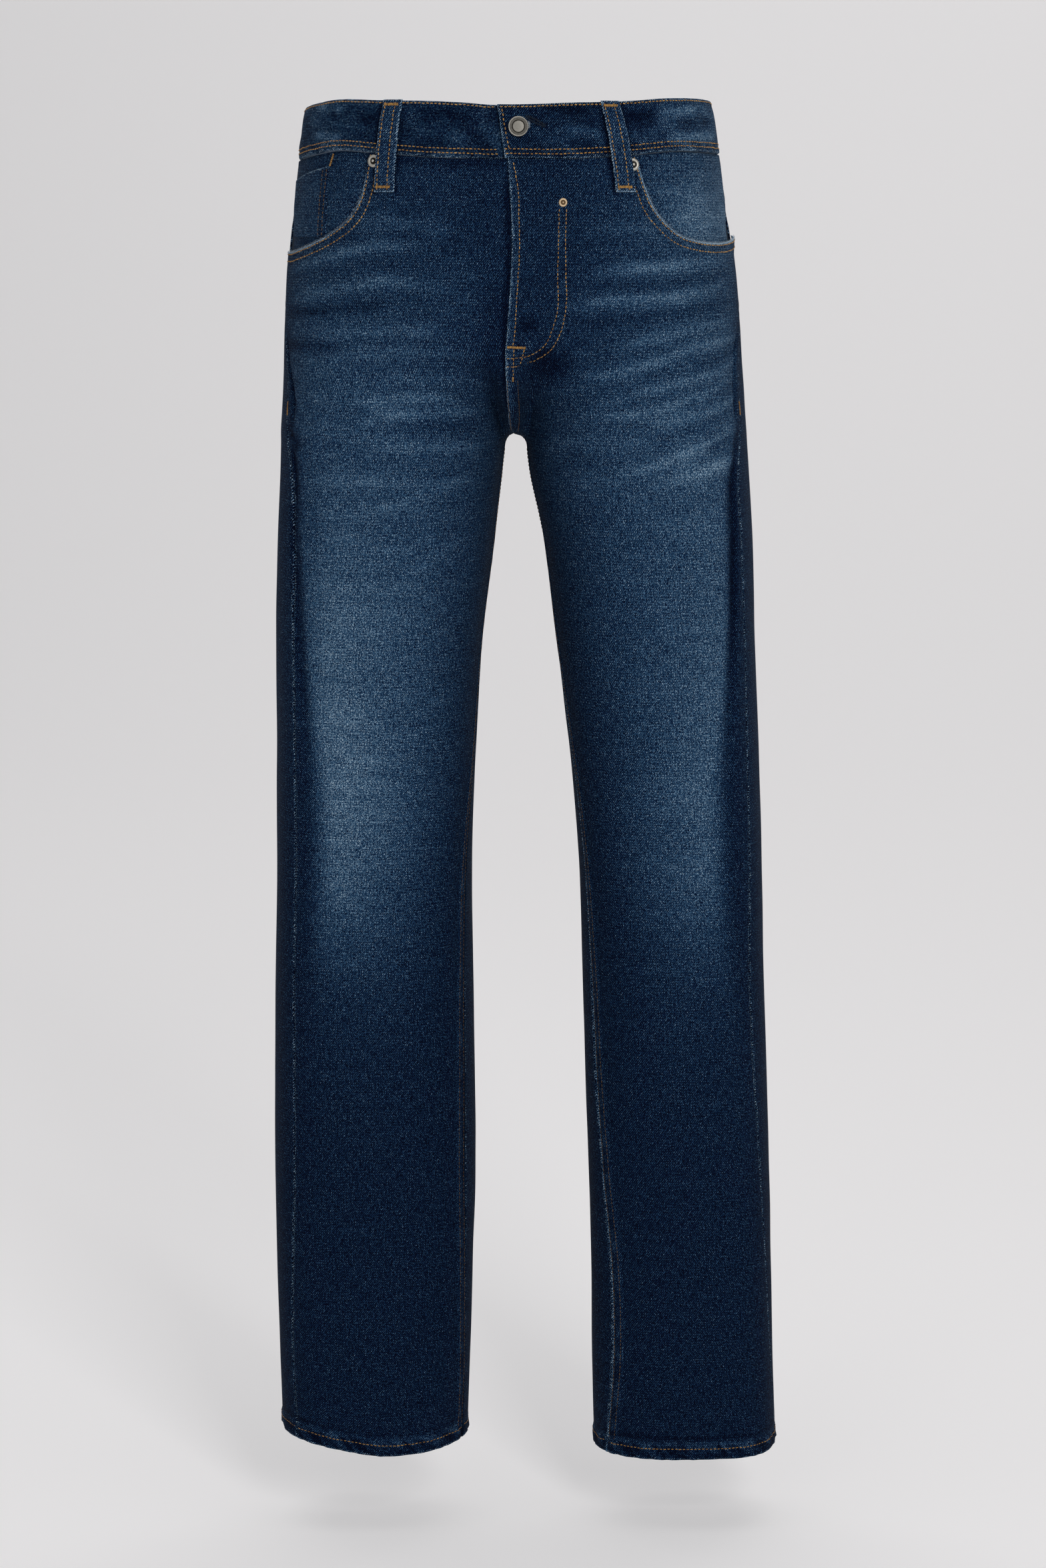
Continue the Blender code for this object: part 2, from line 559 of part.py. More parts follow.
def main():
    """Builds every piece."""
    for thing in list(bpy.data.objects):
        bpy.data.objects.remove(thing, do_unlink=True)

    denim = finish("denim", (0.03, 0.06, 0.14), 0.9)
    band_denim = finish("denim_band", (0.025, 0.05, 0.12), 0.9)
    cotton = finish("pocket_cotton", (0.75, 0.72, 0.66), 0.95)
    tape = finish("zip_cloth", (0.03, 0.04, 0.08), 0.8)
    nickel = finish("nickel", (0.55, 0.54, 0.52), 0.35, 1.0)
    brass = finish("brass", (0.72, 0.55, 0.34), 0.35, 1.0)

    waistband("waistband", band_denim)
    for side, sign, scoop in (("right", -1, RIGHT_SCOOP), ("left", 1, LEFT_SCOOP)):
        front_panel("front_" + side, sign, scoop, denim)
        back_panel("back_" + side, sign, denim)
        yoke("yoke_" + side, sign, denim)
        pocket_facing("pocket_facing_" + side, sign, scoop, denim)
        pocket_bag("pocket_bag_" + side, sign, cotton)
        back_pocket("back_pocket_" + side, sign, denim)
        belt_loop("belt_loop_back_" + side, sign * BACK_LOOP, sign * BACK_LOOP, band_denim)
    belt_loop("belt_loop_front_right", -0.451, -0.470, band_denim)
    belt_loop("belt_loop_front_left", 0.401, 0.434, band_denim)
    belt_loop("belt_loop_back_centre", 2.0, 2.0, band_denim)
    coin_pocket("coin_pocket", denim)
    fly_shield("fly_shield", denim)
    zip_tape("zip", tape)

    turned("button", BUTTON, 0.040, -4.3, BAND_LIFT + LAYER_GAP, 16, nickel)
    turned("pocket_rivet_right", POCKET_RIVET, -0.51, -29, LAYER_GAP, 12, nickel)
    turned("pocket_rivet_left", POCKET_RIVET, 0.464, -31.7, LAYER_GAP, 12, nickel)
    turned("fly_rivet", FLY_RIVET, 0.21, -59.7, LAYER_GAP, 12, brass)


main()
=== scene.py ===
"""Straight leg jeans in dark indigo denim: the looks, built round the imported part.

Frame: X towards the wearer's left, -Y to the front, +Z up. The origin is the middle of the
waistband ring. Tables, lifts and stitches are in millimetres, and the meshes in metres.

Every piece of cloth lies on one skin. A place on the skin is (girth, height): girth runs round the
wearer's left side from 0 at the centre front, through 1 at the side seam, to 2 at the centre back,
and round the right side as 0, -1, -2. Below the fork, 0 and 2 are both the inseam. Each piece adds
its own lift in front of the skin, and the shells and the stitches read the same lift.
"""
import functools
import math
from collections import namedtuple

import bpy
import numpy as np
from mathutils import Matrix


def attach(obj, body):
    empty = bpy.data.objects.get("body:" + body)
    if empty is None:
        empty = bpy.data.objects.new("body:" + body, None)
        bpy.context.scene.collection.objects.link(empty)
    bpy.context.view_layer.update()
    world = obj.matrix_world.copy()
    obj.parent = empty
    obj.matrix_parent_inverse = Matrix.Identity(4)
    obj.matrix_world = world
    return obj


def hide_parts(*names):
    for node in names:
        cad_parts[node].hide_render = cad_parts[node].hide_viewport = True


bl_info = {
    "name": "Straight Leg Jeans",
    "version": (1, 0, 0),
    "blender": (4, 5, 0),
    "location": "View3D > Sidebar > Jeans",
    "description": "Builds five-pocket straight leg jeans as worn denim, stitched and riveted",
    "category": "Add Mesh",
}

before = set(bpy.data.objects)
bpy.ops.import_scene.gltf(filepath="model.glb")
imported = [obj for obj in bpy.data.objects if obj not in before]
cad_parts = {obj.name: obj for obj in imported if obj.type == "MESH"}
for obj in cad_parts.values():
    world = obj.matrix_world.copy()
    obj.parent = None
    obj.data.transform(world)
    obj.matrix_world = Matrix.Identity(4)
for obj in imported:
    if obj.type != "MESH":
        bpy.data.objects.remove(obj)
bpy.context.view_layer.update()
MM = 0.001
TURN = 2 * math.pi


def rows_of(kind, *rows):
    """A table of named rows."""
    return tuple(kind(*row) for row in rows)


# ---- driving sizes, millimetres
BLEND_TOP = -165.0  # foot of the fly, where the rise starts to curve under
SIDE_BLEND_TOP = -110.0  # at the side the trunk turns into the leg from here
FORK = -236.0  # the point where the four panels meet
ARCH_DROP = 8.0  # the legs part in a round arch this high
HEM = -1047.0
LEFT_DROP = 4.0  # the left hem hangs this much lower
DROP_FROM = -600.0  # and the drop starts here
HEM_TURN = 12.0  # height of the turned-up hem
TRUNK_CORNER = 2.4  # squareness of the trunk's section, 2 is an ellipse
LEG_CORNER = 2.3
CORNER_EXTRA = 0.6  # the front of the leg turns to the side in a firmer corner
PULL_REACH = 0.14  # how far from the seam, in girth, the arch's edge is drawn in
RISE_REACH = 0.16  # and how far the rise seam's own curve reaches
FORK_ROW = 6  # the sections' row at the fork
SEAM = 0.0008  # half a seam's gap, in girth
SEAM_GAP = 0.3  # and in height
GIRTH_MM = 205.0  # about how many millimetres one of girth is at the hips
BAND_MM = 212.0  # and at the waistband

DENIM = 1.5  # wall of one layer of denim
BAND_WALL = 3.0  # the waistband is folded double
BAND_LIFT = 0.8  # and stands a little proud of the panels
FACING_WALL = 1.2
COIN_WALL = 1.0
BAG_WALL = 1.0
ZIP_WALL = 1.0
LAYER_GAP = 0.5  # between layers that lie on each other
EDGE_ROLL = 0.55  # how far a piece's outside rolls in at its edge
ROLL_WIDTH = 1.1

# One row for each section, from the waistband to the hem: the middle edge of the half (the centre
# line above the fork, the inner side of the leg below it), its outer side, its front and back,
# and how far forward of the side the side seam and of the inner side the inseam lie, in degrees.
Section = namedtuple("Section", "height inner_x outer_x front_y back_y side_seam inseam")
RIGHT_HALF = rows_of(
    Section,
    (19, 0, -155.5, -104, 102, -4, 0),
    (-19, 0, -161, -108, 108, -3, 0),
    (-60, 1, -165.5, -112, 118, -2, 0),
    (-100, 2, -170, -114, 129, 0, 0),
    (-150, -1, -173, -115, 138, 4, 0),
    (-195, -1, -175, -112, 136, 11, 0),
    (-236, -3, -177, -106, 122, 20, 0),
    (-262, -6, -178, -103, 111, 25, 0),
    (-310, -11, -180.5, -98, 100, 29, 2),
    (-390, -21, -182.5, -90, 88, 32, 5),
    (-480, -26, -183, -81, 77, 34, 14),
    (-560, -29, -184, -75, 70, 36, 22),
    (-650, -29, -186, -70, 64, 35, 24),
    (-740, -28, -187.5, -65, 60, 35, 24),
    (-820, -27.5, -188, -61, 58, 34, 23),
    (-900, -29.5, -187, -58, 56, 31, 20),
    (-960, -31, -186, -56, 55, 29, 18),
    (-1047, -34, -184, -55, 55, 30, 17))
LEFT_HALF = rows_of(
    Section,
    (19, 0, 154.5, -104, 102, -4, 0),
    (-19, 0, 161.5, -108, 108, -4, 0),
    (-60, 1, 167, -112, 118, -3, 0),
    (-100, 2, 173.5, -114, 129, -2, 0),
    (-150, -1, 178.5, -115, 138, 2, 0),
    (-195, -1, 181.5, -112, 136, 8, 0),
    (-236, 13, 184, -106, 122, 15, 0),
    (-262, 16.5, 186, -103, 111, 20, 1),
    (-310, 26.5, 189.5, -98, 100, 22, 4),
    (-390, 36.5, 192, -90, 88, 23, 10),
    (-480, 47, 196, -81, 77, 26, 18),
    (-560, 54, 199, -75, 70, 28, 24),
    (-650, 58, 201.5, -70, 64, 30, 27),
    (-740, 60.5, 205, -65, 60, 27, 28),
    (-820, 63, 208, -61, 58, 22, 31),
    (-900, 65.5, 210.5, -58, 56, 17, 35),
    (-960, 66.5, 212.5, -56, 55, 12, 34),
    (-1047, 68, 215.5, -55, 55, 1, 26))
Centre = namedtuple("Centre", "height x")
CENTRE_LINE = rows_of(
    Centre,
    (19, 0), (-60, 1), (-100, 2), (-150, -1), (-195, -1), (-236, 4))

# How far each hem is drawn up at its turns round the leg.
Hang = namedtuple("Hang", "turn right left")
HEM_HANG = rows_of(
    Hang,
    (0, 5.5, 0), (0.3, 0.5, 0.8), (0.5, 0, 1.2), (0.75, 5, 1.5), (1, 12, 3), (1.5, 9, 2), (2, 5.5, 0))

# The two edges of the waistband, all round: the cloth has settled into slight waves.
BandEdge = namedtuple("BandEdge", "girth top seam")
BAND_EDGES = rows_of(
    BandEdge,
    (-2.0, 17.0, -22.0), (-1.4, 15.0, -24.0), (-0.9, 12.3, -25.7), (-0.76, 15.0, -23.0),
    (-0.65, 17.0, -20.3), (-0.5, 15.8, -22.8), (-0.34, 15.0, -25.7), (0.0, 12.3, -27.0),
    (0.27, 13.7, -27.0), (0.46, 15.0, -24.3), (0.61, 17.7, -21.0), (0.78, 18.3, -21.2),
    (1.0, 16.5, -22.0), (1.5, 16.0, -23.0), (2.0, 17.0, -22.0))

# The scoop of a front pocket: it leaves the waist seam at the first row and runs out at the side.
Scoop = namedtuple("Scoop", "girth height")
RIGHT_SCOOP = rows_of(
    Scoop,
    (0.530, -22), (0.546, -50), (0.585, -69), (0.66, -82), (0.75, -90.5), (0.85, -95.7), (0.93, -96.5),
    (1.0, -96.5))
LEFT_SCOOP = rows_of(
    Scoop,
    (0.477, -24), (0.503, -48), (0.538, -67), (0.60, -82), (0.67, -87.7), (0.76, -89.3), (0.86, -87.8),
    (1.0, -84))

# Where the side seam has swung forward of the side, the edge of the fly and the rise strip, the
# right front's edge beneath it, and the outer of the fly's two curved rows of stitches.
Edge = namedtuple("Edge", "height girth")
RIGHT_SIDE = rows_of(
    Edge,
    (-100, 1.0), (-150, 0.95), (-190, 0.885), (-230, 0.868), (-300, 0.876), (-440, 0.896), (-622, 0.934),
    (-784, 0.966), (-902, 0.975), (-982, 0.978), (-1047, 0.965))
LEFT_SIDE = rows_of(
    Edge,
    (-100, 1.0), (-150, 0.94), (-190, 0.875), (-230, 0.848), (-300, 0.850), (-440, 0.872), (-622, 0.892),
    (-784, 0.914), (-902, 0.938), (-982, 0.957), (-1047, 0.965))
FLY_EDGE = rows_of(
    Edge,
    (-20, -0.007), (-30, -0.006), (-52, -0.0005), (-68, 0.004), (-94, 0.002), (-111, -0.0005),
    (-137, 0.002), (-159, -0.001), (-166, -0.006), (-182, -0.006), (-195, -0.006), (-214, -0.015),
    (-225, -0.030), (-231, -0.026), (-236, SEAM), (-244, SEAM), (-1047, SEAM))
FLY_TUCK = rows_of(
    Edge,
    (-20, 0.028), (-166, 0.028), (-182, 0.012), (-214, 0.006), (-228, -SEAM), (-236, -SEAM),
    (-1047, -SEAM))
FLY_CURVE = rows_of(
    Edge,
    (-22, 0.222), (-64, 0.222), (-94, 0.213), (-111, 0.217), (-133, 0.231), (-142, 0.231), (-156, 0.219),
    (-166, 0.195), (-172, 0.161), (-176, 0.117), (-180, 0.027))
FLY_RISE = 1.6  # how far the doubled fly stands over the right front
RISE_STRIP = 0.052  # girth of the far edge of the strip below the fly

POCKET_TOP = -88.0
POCKET_INSIDE = (57.0, 61.0)  # how far its inner side is from the middle plane, mouth and foot
POCKET_WIDTH = (127.0, 113.0)  # and its width round the skin, mouth and foot
POCKET_TILT = 6.0  # the mouth's inner end is this much higher, and its side end lower
POCKET_CORNER = -217.0  # height of its two lower corners
POCKET_POINT = 13.0  # and how far the blunt point lies below them
POCKET_GAP = 0.9
YOKE_SIDE = -48.0  # height of the yoke's seam at the side
YOKE_CENTRE = -84.0  # and at the centre back
BAND_START = -0.050  # the left end of the waistband, just past the centre front
BAND_SLANT = 0.032  # and how much less at its lower corner
BAND_RAMP = 3.80  # girth, counted on round the left, where the right end starts to dive
BAND_UNDER = 3.93  # and where it lies fully behind the left end
UNDERLAP_END = 4.24
UNDERLAP_GAP = 0.6
FACING_LIFT = -(DENIM + LAYER_GAP + COIN_WALL + LAYER_GAP)  # under the front and the coin pocket
COIN_LIFT = 1.4  # from the facing's face to the coin pocket's
COIN_INSIDE = 0.683  # turn of the coin pocket's inner edge

# ---- the skin


def read_table(places, values, at):
    """A smooth curve through (places, values): cubic pieces whose slope at each row is the slope
    between its two neighbours. Places increase."""
    places, values = np.asarray(places, float), np.asarray(values, float)
    at = np.clip(np.asarray(at, float), places[0], places[-1])
    slope = np.gradient(values, places)
    i = np.clip(np.searchsorted(places, at) - 1, 0, len(places) - 2)
    step = places[i + 1] - places[i]
    u = (at - places[i]) / step
    return ((2 * u ** 3 - 3 * u ** 2 + 1) * values[i] + (u ** 3 - 2 * u ** 2 + u) * step * slope[i]
            + (3 * u ** 2 - 2 * u ** 3) * values[i + 1] + (u ** 3 - u ** 2) * step * slope[i + 1])


def column(rows, name, at, read=read_table):
    """One column of a table, read at any place along the table's first column."""
    places = np.array([row[0] for row in rows], float)
    order = np.sign(places[1] - places[0])
    return read(order * places, [getattr(row, name) for row in rows], order * np.asarray(at, float))


def straight(rows, name, at):
    """The same, joined by straight lines."""
    return column(rows, name, at, lambda places, values, spots: np.interp(spots, places, values))


def traced(places, t):
    """Girths and heights at t rows along a list of (girth, height) places."""
    keys = np.arange(len(places))
    return [read_table(keys, [place[k] for place in places], t) for k in (0, 1)]


def ease(start, end, value):
    """0 at start and 1 at end, with level ends."""
    u = np.clip((np.asarray(value, float) - start) / (end - start), 0, 1)
    return u * u * (3 - 2 * u)


def rounded_section(angle, half_width, front, back, corner):
    """A point on a rounded section: the radius at a polar angle (0 outwards, 90 degrees to the
    front) is that of a superellipse whose half depth is front or back."""
    cosine, sine = np.cos(angle), np.sin(angle)
    depth = np.where(sine > 0, front, back)
    radius = (np.abs(cosine / half_width) ** corner + np.abs(sine / depth) ** corner) ** (-1 / corner)
    return radius * cosine, -radius * sine


def half_skin(half, sign, leg_drop, turn, height):
    """The skin of one half; turn is 0 at the centre front, 1 at the side seam and 2 at the centre
    back. The trunk's section is blended into the leg's: at the centre along a quarter ellipse,
    which draws the rise under to the fork, and smoothly from there to the side. Below the fork
    the leg's inner side lets go of the centre line in a round arch."""
    centre = column(CENTRE_LINE, "x", height)
    outer, inner = column(half, "outer_x", height), column(half, "inner_x", height)
    front, back = -column(half, "front_y", height), column(half, "back_y", height)
    side_seam = np.radians(column(half, "side_seam", height))
    inseam = np.radians(column(half, "inseam", height))
    from_centre = np.minimum(turn, 2 - turn)
    on_front = turn <= 1

    trunk_angle = np.where(on_front, math.pi / 2 + (side_seam - math.pi / 2) * turn,
                           side_seam + (-math.pi / 2 - side_seam) * (turn - 1))
    trunk_x, trunk_y = rounded_section(trunk_angle, np.abs(outer - centre), front, back, TRUNK_CORNER)
    trunk_x = centre + sign * trunk_x

    inner = np.where(height > FORK, half[FORK_ROW].inner_x, inner)
    start = math.pi - inseam
    leg_angle = np.where(on_front, start + (side_seam - start) * turn,
                         side_seam + (start - TURN - side_seam) * (turn - 1))
    in_front_corner = (leg_angle > 0) & (leg_angle < math.pi / 2)
    corner = LEG_CORNER + np.where(in_front_corner, CORNER_EXTRA * np.sin(2 * leg_angle) ** 2, 0)
    leg_x, leg_y = rounded_section(leg_angle, np.abs(outer - inner) / 2, front, back, corner)
    leg_x = (outer + inner) / 2 + sign * leg_x
    below = np.clip((FORK - height) / ARCH_DROP, 0, 1)
    pull = (1 - np.sqrt(1 - (1 - below) ** 2)) * (1 - ease(0, PULL_REACH, from_centre))
    leg_x = leg_x + (centre + sign * 0.15 - inner) * pull

    sunk = np.clip((BLEND_TOP - height) / (BLEND_TOP - FORK), 0, 1)
    blend_top = BLEND_TOP + (SIDE_BLEND_TOP - BLEND_TOP) * ease(0.1, 1, from_centre)
    off_centre = ease(0, RISE_REACH, from_centre)
    share = ((1 - np.sqrt(1 - sunk ** 2)) * (1 - off_centre)
             + ease(0, 1, (blend_top - height) / (blend_top - FORK)) * off_centre)
    drawn_up = column(HEM_HANG, "right" if sign < 0 else "left", turn)
    longer = leg_drop * ease(DROP_FROM, HEM, height) - drawn_up * ease(-940, HEM, height)
    return np.stack([trunk_x + (leg_x - trunk_x) * share,
                     trunk_y + (leg_y - trunk_y) * share,
                     height - longer], axis=-1)


def wrap(girth):
    """Girth brought back between -2 and 2, as it may run past the centre back."""
    girth = np.asarray(girth, float)
    return np.where(girth > 2, girth - 4, np.where(girth < -2, girth + 4, girth))


def skin(girth, height, turn_step=0.0, height_step=0.0):
    """The skin at any girth. The steps move the place further round its own half and up."""
    girth, height = np.broadcast_arrays(wrap(girth), np.asarray(height, float))
    turn = np.clip(np.abs(girth) + turn_step, 0, 2)
    left = half_skin(LEFT_HALF, 1, LEFT_DROP, turn, height + height_step)
    right = half_skin(RIGHT_HALF, -1, 0.0, turn, height + height_step)
    return np.where((girth >= 0)[..., None], left, right)


def own_normal(girth, height):
    """The normal on the place's own half: the cross product of the skin's two slopes."""
    along = skin(girth, height, turn_step=0.004) - skin(girth, height, turn_step=-0.004)
    along = np.where((wrap(girth) >= 0)[..., None], along, -along)
    down = skin(girth, height, height_step=-0.4) - skin(girth, height, height_step=0.4)
    normal = np.cross(down, along)
    return normal / np.linalg.norm(normal, axis=-1, keepdims=True)


def outward(girth, height):
    """The skin's normal. Above the fork the two halves meet at an angle along the centre front
    and back, and there the normals of both are averaged."""
    girth, height = np.broadcast_arrays(wrap(girth), np.asarray(height, float))
    normal = own_normal(girth, height)
    from_centre = np.minimum(np.abs(girth), 2 - np.abs(girth))
    share = 0.5 * (1 - ease(0, 0.06, from_centre)) * ease(FORK, FORK + 5, height)
    near = share > 0
    if near.any():
        mate = own_normal(-girth[near], height[near])
        share = share[near][:, None]
        normal[near] = normal[near] * (1 - share) + mate * share
        normal /= np.linalg.norm(normal, axis=-1, keepdims=True)
    return normal


def lifted(girth, height, lift):
    """The skin moved out along its normal, in millimetres."""
    return skin(girth, height) + outward(girth, height) * np.asarray(lift, float)[..., None]


# Length round the skin from the centre front, on a table of heights and girths.
RULER_HEIGHTS = np.linspace(20, -1050, 108)
RULER_GIRTHS = np.linspace(-2, 2, 641)


def make_ruler():
    """Adds up the steps between neighbouring girths at each height of the ruler."""
    points = skin(RULER_GIRTHS[None, :], RULER_HEIGHTS[:, None])
    steps = np.linalg.norm(np.diff(points, axis=1), axis=-1)
    length = np.concatenate([np.zeros((len(points), 1)), np.cumsum(steps, axis=1)], axis=1)
    return length - length[:, len(RULER_GIRTHS) // 2][:, None]


RULER = make_ruler()


def around(girth, height):
    """Millimetres round the skin from the centre front, read between the ruler's marks."""
    girth, height = np.broadcast_arrays(wrap(girth), np.asarray(height, float))
    x = np.clip((girth + 2) / 4 * (len(RULER_GIRTHS) - 1), 0, len(RULER_GIRTHS) - 1.001)
    y = np.clip((20 - height) / 10, 0, len(RULER_HEIGHTS) - 1.001)
    i, j = y.astype(int), x.astype(int)
    v, u = y - i, x - j
    return ((RULER[i, j] * (1 - u) + RULER[i, j + 1] * u) * (1 - v)
            + (RULER[i + 1, j] * (1 - u) + RULER[i + 1, j + 1] * u) * v)


def reach(girth, height):
    """Millimetres round the skin for one of girth, here."""
    low, high = np.maximum(wrap(girth) - 0.02, -2), np.minimum(wrap(girth) + 0.02, 2)
    return (around(high, height) - around(low, height)) / (high - low)


def soft_noise(seed, x, y):
    """Seeded values from -1 to 1 on a lattice of whole numbers, joined by smooth steps."""
    values = np.random.default_rng(seed).uniform(-1, 1, (64, 64))
    i, j = np.floor(y).astype(int), np.floor(x).astype(int)
    v, u = y - i, x - j
    v, u = v * v * (3 - 2 * v), u * u * (3 - 2 * u)
    i, j, following_i, following_j = i % 64, j % 64, (i + 1) % 64, (j + 1) % 64
    return ((values[i, j] * (1 - u) + values[i, following_j] * u) * (1 - v)
            + (values[following_i, j] * (1 - u) + values[following_i, following_j] * u) * v)


# ---- creases and fading
# A crease: places along it as (girth, height), its width, its rise (less than 0 is a trough), and
# how much paler it has worn; a paleness less than 0 is painted shade in the trough.
Crease = namedtuple("Crease", "places width rise pale")
CREASES = rows_of(
    Crease,
    # the fold down the outer front of each thigh, and its crisp line in painted shade
    (((-.93, -150), (-.89, -175), (-.85, -192), (-.832, -208), (-.835, -228)), 3.4, -2.4, 0),
    (((-.84, -200), (-.848, -250), (-.864, -300), (-.862, -360), (-.85, -440), (-.845, -520)),
     4.6, -1.5, 0),
    (((.93, -150), (.855, -171), (.828, -201), (.812, -226)), 3.4, -2.3, 0),
    (((.826, -205), (.820, -254), (.812, -290), (.802, -361), (.79, -400), (.772, -492),
      (.75, -580)), 4.8, -1.6, 0),
    (((-.925, -152), (-.885, -176), (-.85, -193), (-.832, -212), (-.84, -245)), 1.5, -1.0, -.50),
    (((-.838, -205), (-.855, -260), (-.878, -305), (-.876, -360), (-.860, -450)), 2.4, -.7, -.34),
    (((.92, -153), (.850, -171), (.824, -201), (.812, -230)), 1.5, -1.0, -.45),
    (((.815, -210), (.824, -270), (.808, -361), (.786, -450)), 2.4, -.7, -.32),
    # the wearer's left hip
    (((.24, -82), (.45, -77), (.62, -86)), 3.4, .6, .18),
    (((.24, -114), (.42, -109), (.60, -106), (.92, -96)), 3.2, 1.1, .52),
    (((.16, -139), (.42, -132), (.62, -129), (.90, -115)), 3.4, 1.2, .50),
    (((.40, -169), (.63, -156), (.93, -141)), 3.2, .9, .32),
    (((.28, -194), (.54, -180), (.67, -168), (.94, -156)), 2.9, 1.3, .54),
    (((.43, -206), (.66, -192), (.90, -172)), 2.7, 1.1, .40),
    (((.33, -220), (.56, -215), (.70, -201), (.88, -184)), 2.7, 1.1, .42),
    (((.50, -225), (.70, -216), (.88, -198)), 2.6, .8, .28),
    (((.46, -264), (.64, -250), (.71, -240), (.84, -220)), 2.9, 1.3, .62),
    (((.56, -271), (.75, -258), (.86, -246)), 2.9, 1.0, .56),
    (((.20, -246), (.44, -235), (.58, -241)), 3.2, .6, .20),
    (((.28, -274), (.50, -264), (.62, -255)), 3.0, .6, .18),
    (((.34, -123), (.61, -119), (.92, -106)), 2.9, -.9, -.15),
    (((.24, -150), (.53, -145), (.90, -129)), 3.2, -.9, -.17),
    (((.46, -192), (.67, -180), (.94, -164)), 2.4, -.8, -.14),
    (((.54, -240), (.66, -229), (.84, -211)), 2.5, -.7, -.14),
    (((.58, -258), (.70, -246), (.84, -232)), 2.5, -.7, -.16),
    # painted shade by the foot of the fly and beside the fly
    (((.08, -172), (.20, -180), (.34, -188)), 8.0, -.6, -.40),
    (((.03, -149), (.08, -150), (.15, -148)), 3.6, -.5, -.30),
    # the wearer's right hip
    (((-.60, -78), (-.41, -74), (-.20, -85)), 4.0, .7, .32),
    (((-.92, -113), (-.67, -100), (-.51, -92), (-.28, -92)), 2.9, 1.0, .48),
    (((-.92, -136), (-.65, -124), (-.47, -118), (-.24, -121)), 3.2, 1.0, .46),
    (((-.94, -143), (-.66, -139), (-.44, -134)), 2.9, -.8, -.34),
    (((-.78, -159), (-.52, -154), (-.22, -156)), 3.3, .9, .36),
    (((-.94, -166), (-.76, -166), (-.58, -168)), 3.2, -.8, -.32),
    (((-.84, -187), (-.50, -170), (-.08, -174)), 3.2, .8, .18),
    (((-.64, -196), (-.34, -189), (-.06, -196)), 2.9, .8, .24),
    (((-.66, -209), (-.49, -205), (-.30, -204)), 2.7, 1.0, .44),
    (((-.64, -224), (-.50, -216), (-.20, -214)), 2.7, 1.0, .40),
    (((-.66, -231), (-.41, -227), (-.26, -228)), 2.4, -.6, -.16),
    (((-.64, -240), (-.45, -242), (-.24, -241)), 2.9, .9, .30),
    (((-.90, -266), (-.58, -268), (-.28, -268)), 2.6, .7, .20),
    (((-.72, -299), (-.50, -280), (-.28, -261)), 3.1, .7, .20),
    (((-.56, -348), (-.41, -325), (-.28, -302)), 3.0, .7, .18),
    # painted shade beside the fly
    (((-.045, -115), (-.06, -160), (-.10, -215)), 6.0, -.4, -.20),
    # the waistband, paler on its ridges with wear and painted highlight and darker in its troughs with
    # painted shade, and the buttonhole's slot in painted shade
    (((-.80, 7), (-.667, 6.5), (-.565, 4.5), (-.48, 0)), 2.8, -1.3, -.36),
    (((-.79, 11), (-.70, 10), (-.60, 8.5)), 2.2, .7, .50),
    (((-.77, -9), (-.687, -11.5), (-.60, -13)), 2.6, 1.0, .62),
    (((-.42, 2), (-.26, 4), (-.10, 1)), 3.0, -1.1, -.28),
    (((-.44, -12), (-.30, -9), (-.14, -11)), 2.6, .6, .22),
    (((.17, 9), (.26, 6), (.36, 4)), 2.4, -1.0, -.28),
    (((.20, -14), (.30, -10), (.42, -11)), 2.6, .7, .30),
    (((.54, 5.5), (.653, 8.3), (.83, 12)), 2.2, .8, .50),
    (((.44, 2), (.52, 4), (.60, 5.7)), 2.8, -1.2, -.36),
    (((.62, -2), (.72, 0), (.86, 3)), 2.6, -.9, -.26),
    (((.60, -11), (.70, -11), (.85, -10)), 2.8, 1.0, .62),
    (((1.20, 2), (1.45, -2), (1.70, 1)), 3.5, -.9, -.16),
    (((-1.20, 0), (-1.50, 3), (-1.75, -1)), 3.5, -.9, -.16),
    (((.071, 3.4), (.112, -.3), (.165, -4.8)), 1.5, -.7, -.80),
    (((.15, 12), (.23, 10), (.33, 11)), 2.0, -.8, -.42),
    (((.24, 1), (.30, -2), (.36, -1)), 2.2, -.8, -.38),
    (((.18, -9), (.25, -5), (.34, -7)), 1.8, .7, .34),
    # knees and shins, all very soft
    (((-.30, -470), (-.52, -486), (-.76, -478)), 12.0, .9, .03),
    (((-.26, -560), (-.50, -548), (-.74, -556)), 13.0, .9, .03),
    (((.26, -500), (.48, -512), (.70, -500)), 12.0, .9, .03),
    (((.28, -590), (.50, -574), (.72, -584)), 13.0, .8, .02),
    (((-.46, -640), (-.50, -800), (-.52, -960)), 22.0, -0.7, 0),
    (((.50, -660), (.46, -800), (.44, -970)), 22.0, -0.7, 0),
    # under the seat, behind the thighs and behind the knees
    (((1.84, -214), (1.62, -240), (1.36, -236)), 8.0, 1.8, .12),
    (((-1.84, -212), (-1.60, -238), (-1.34, -232)), 8.0, 1.8, .12),
    (((1.90, -250), (1.66, -272), (1.40, -262)), 9.0, 1.5, .08),
    (((-1.90, -252), (-1.68, -270), (-1.42, -264)), 9.0, 1.5, .08),
    (((1.30, -300), (1.55, -318), (1.80, -306)), 11.0, 1.0, .04),
    (((-1.28, -296), (-1.52, -312), (-1.80, -300)), 11.0, 1.0, .04),
    (((1.16, -500), (1.45, -520), (1.74, -506)), 10.0, 1.6, .08),
    (((-1.16, -496), (-1.44, -514), (-1.72, -500)), 10.0, 1.6, .08),
    (((1.22, -540), (1.50, -552), (1.80, -536)), 10.0, 1.3, .07),
    (((-1.20, -534), (-1.48, -548), (-1.78, -530)), 10.0, 1.3, .07),
    (((1.14, -586), (1.40, -576), (1.66, -588)), 12.0, 1.0, .04),
    (((-1.12, -580), (-1.42, -570), (-1.68, -584)), 12.0, 1.0, .04),
    (((1.50, -640), (1.46, -800), (1.48, -980)), 22.0, -0.8, 0),
    (((-1.50, -640), (-1.52, -800), (-1.46, -980)), 22.0, -0.8, 0))
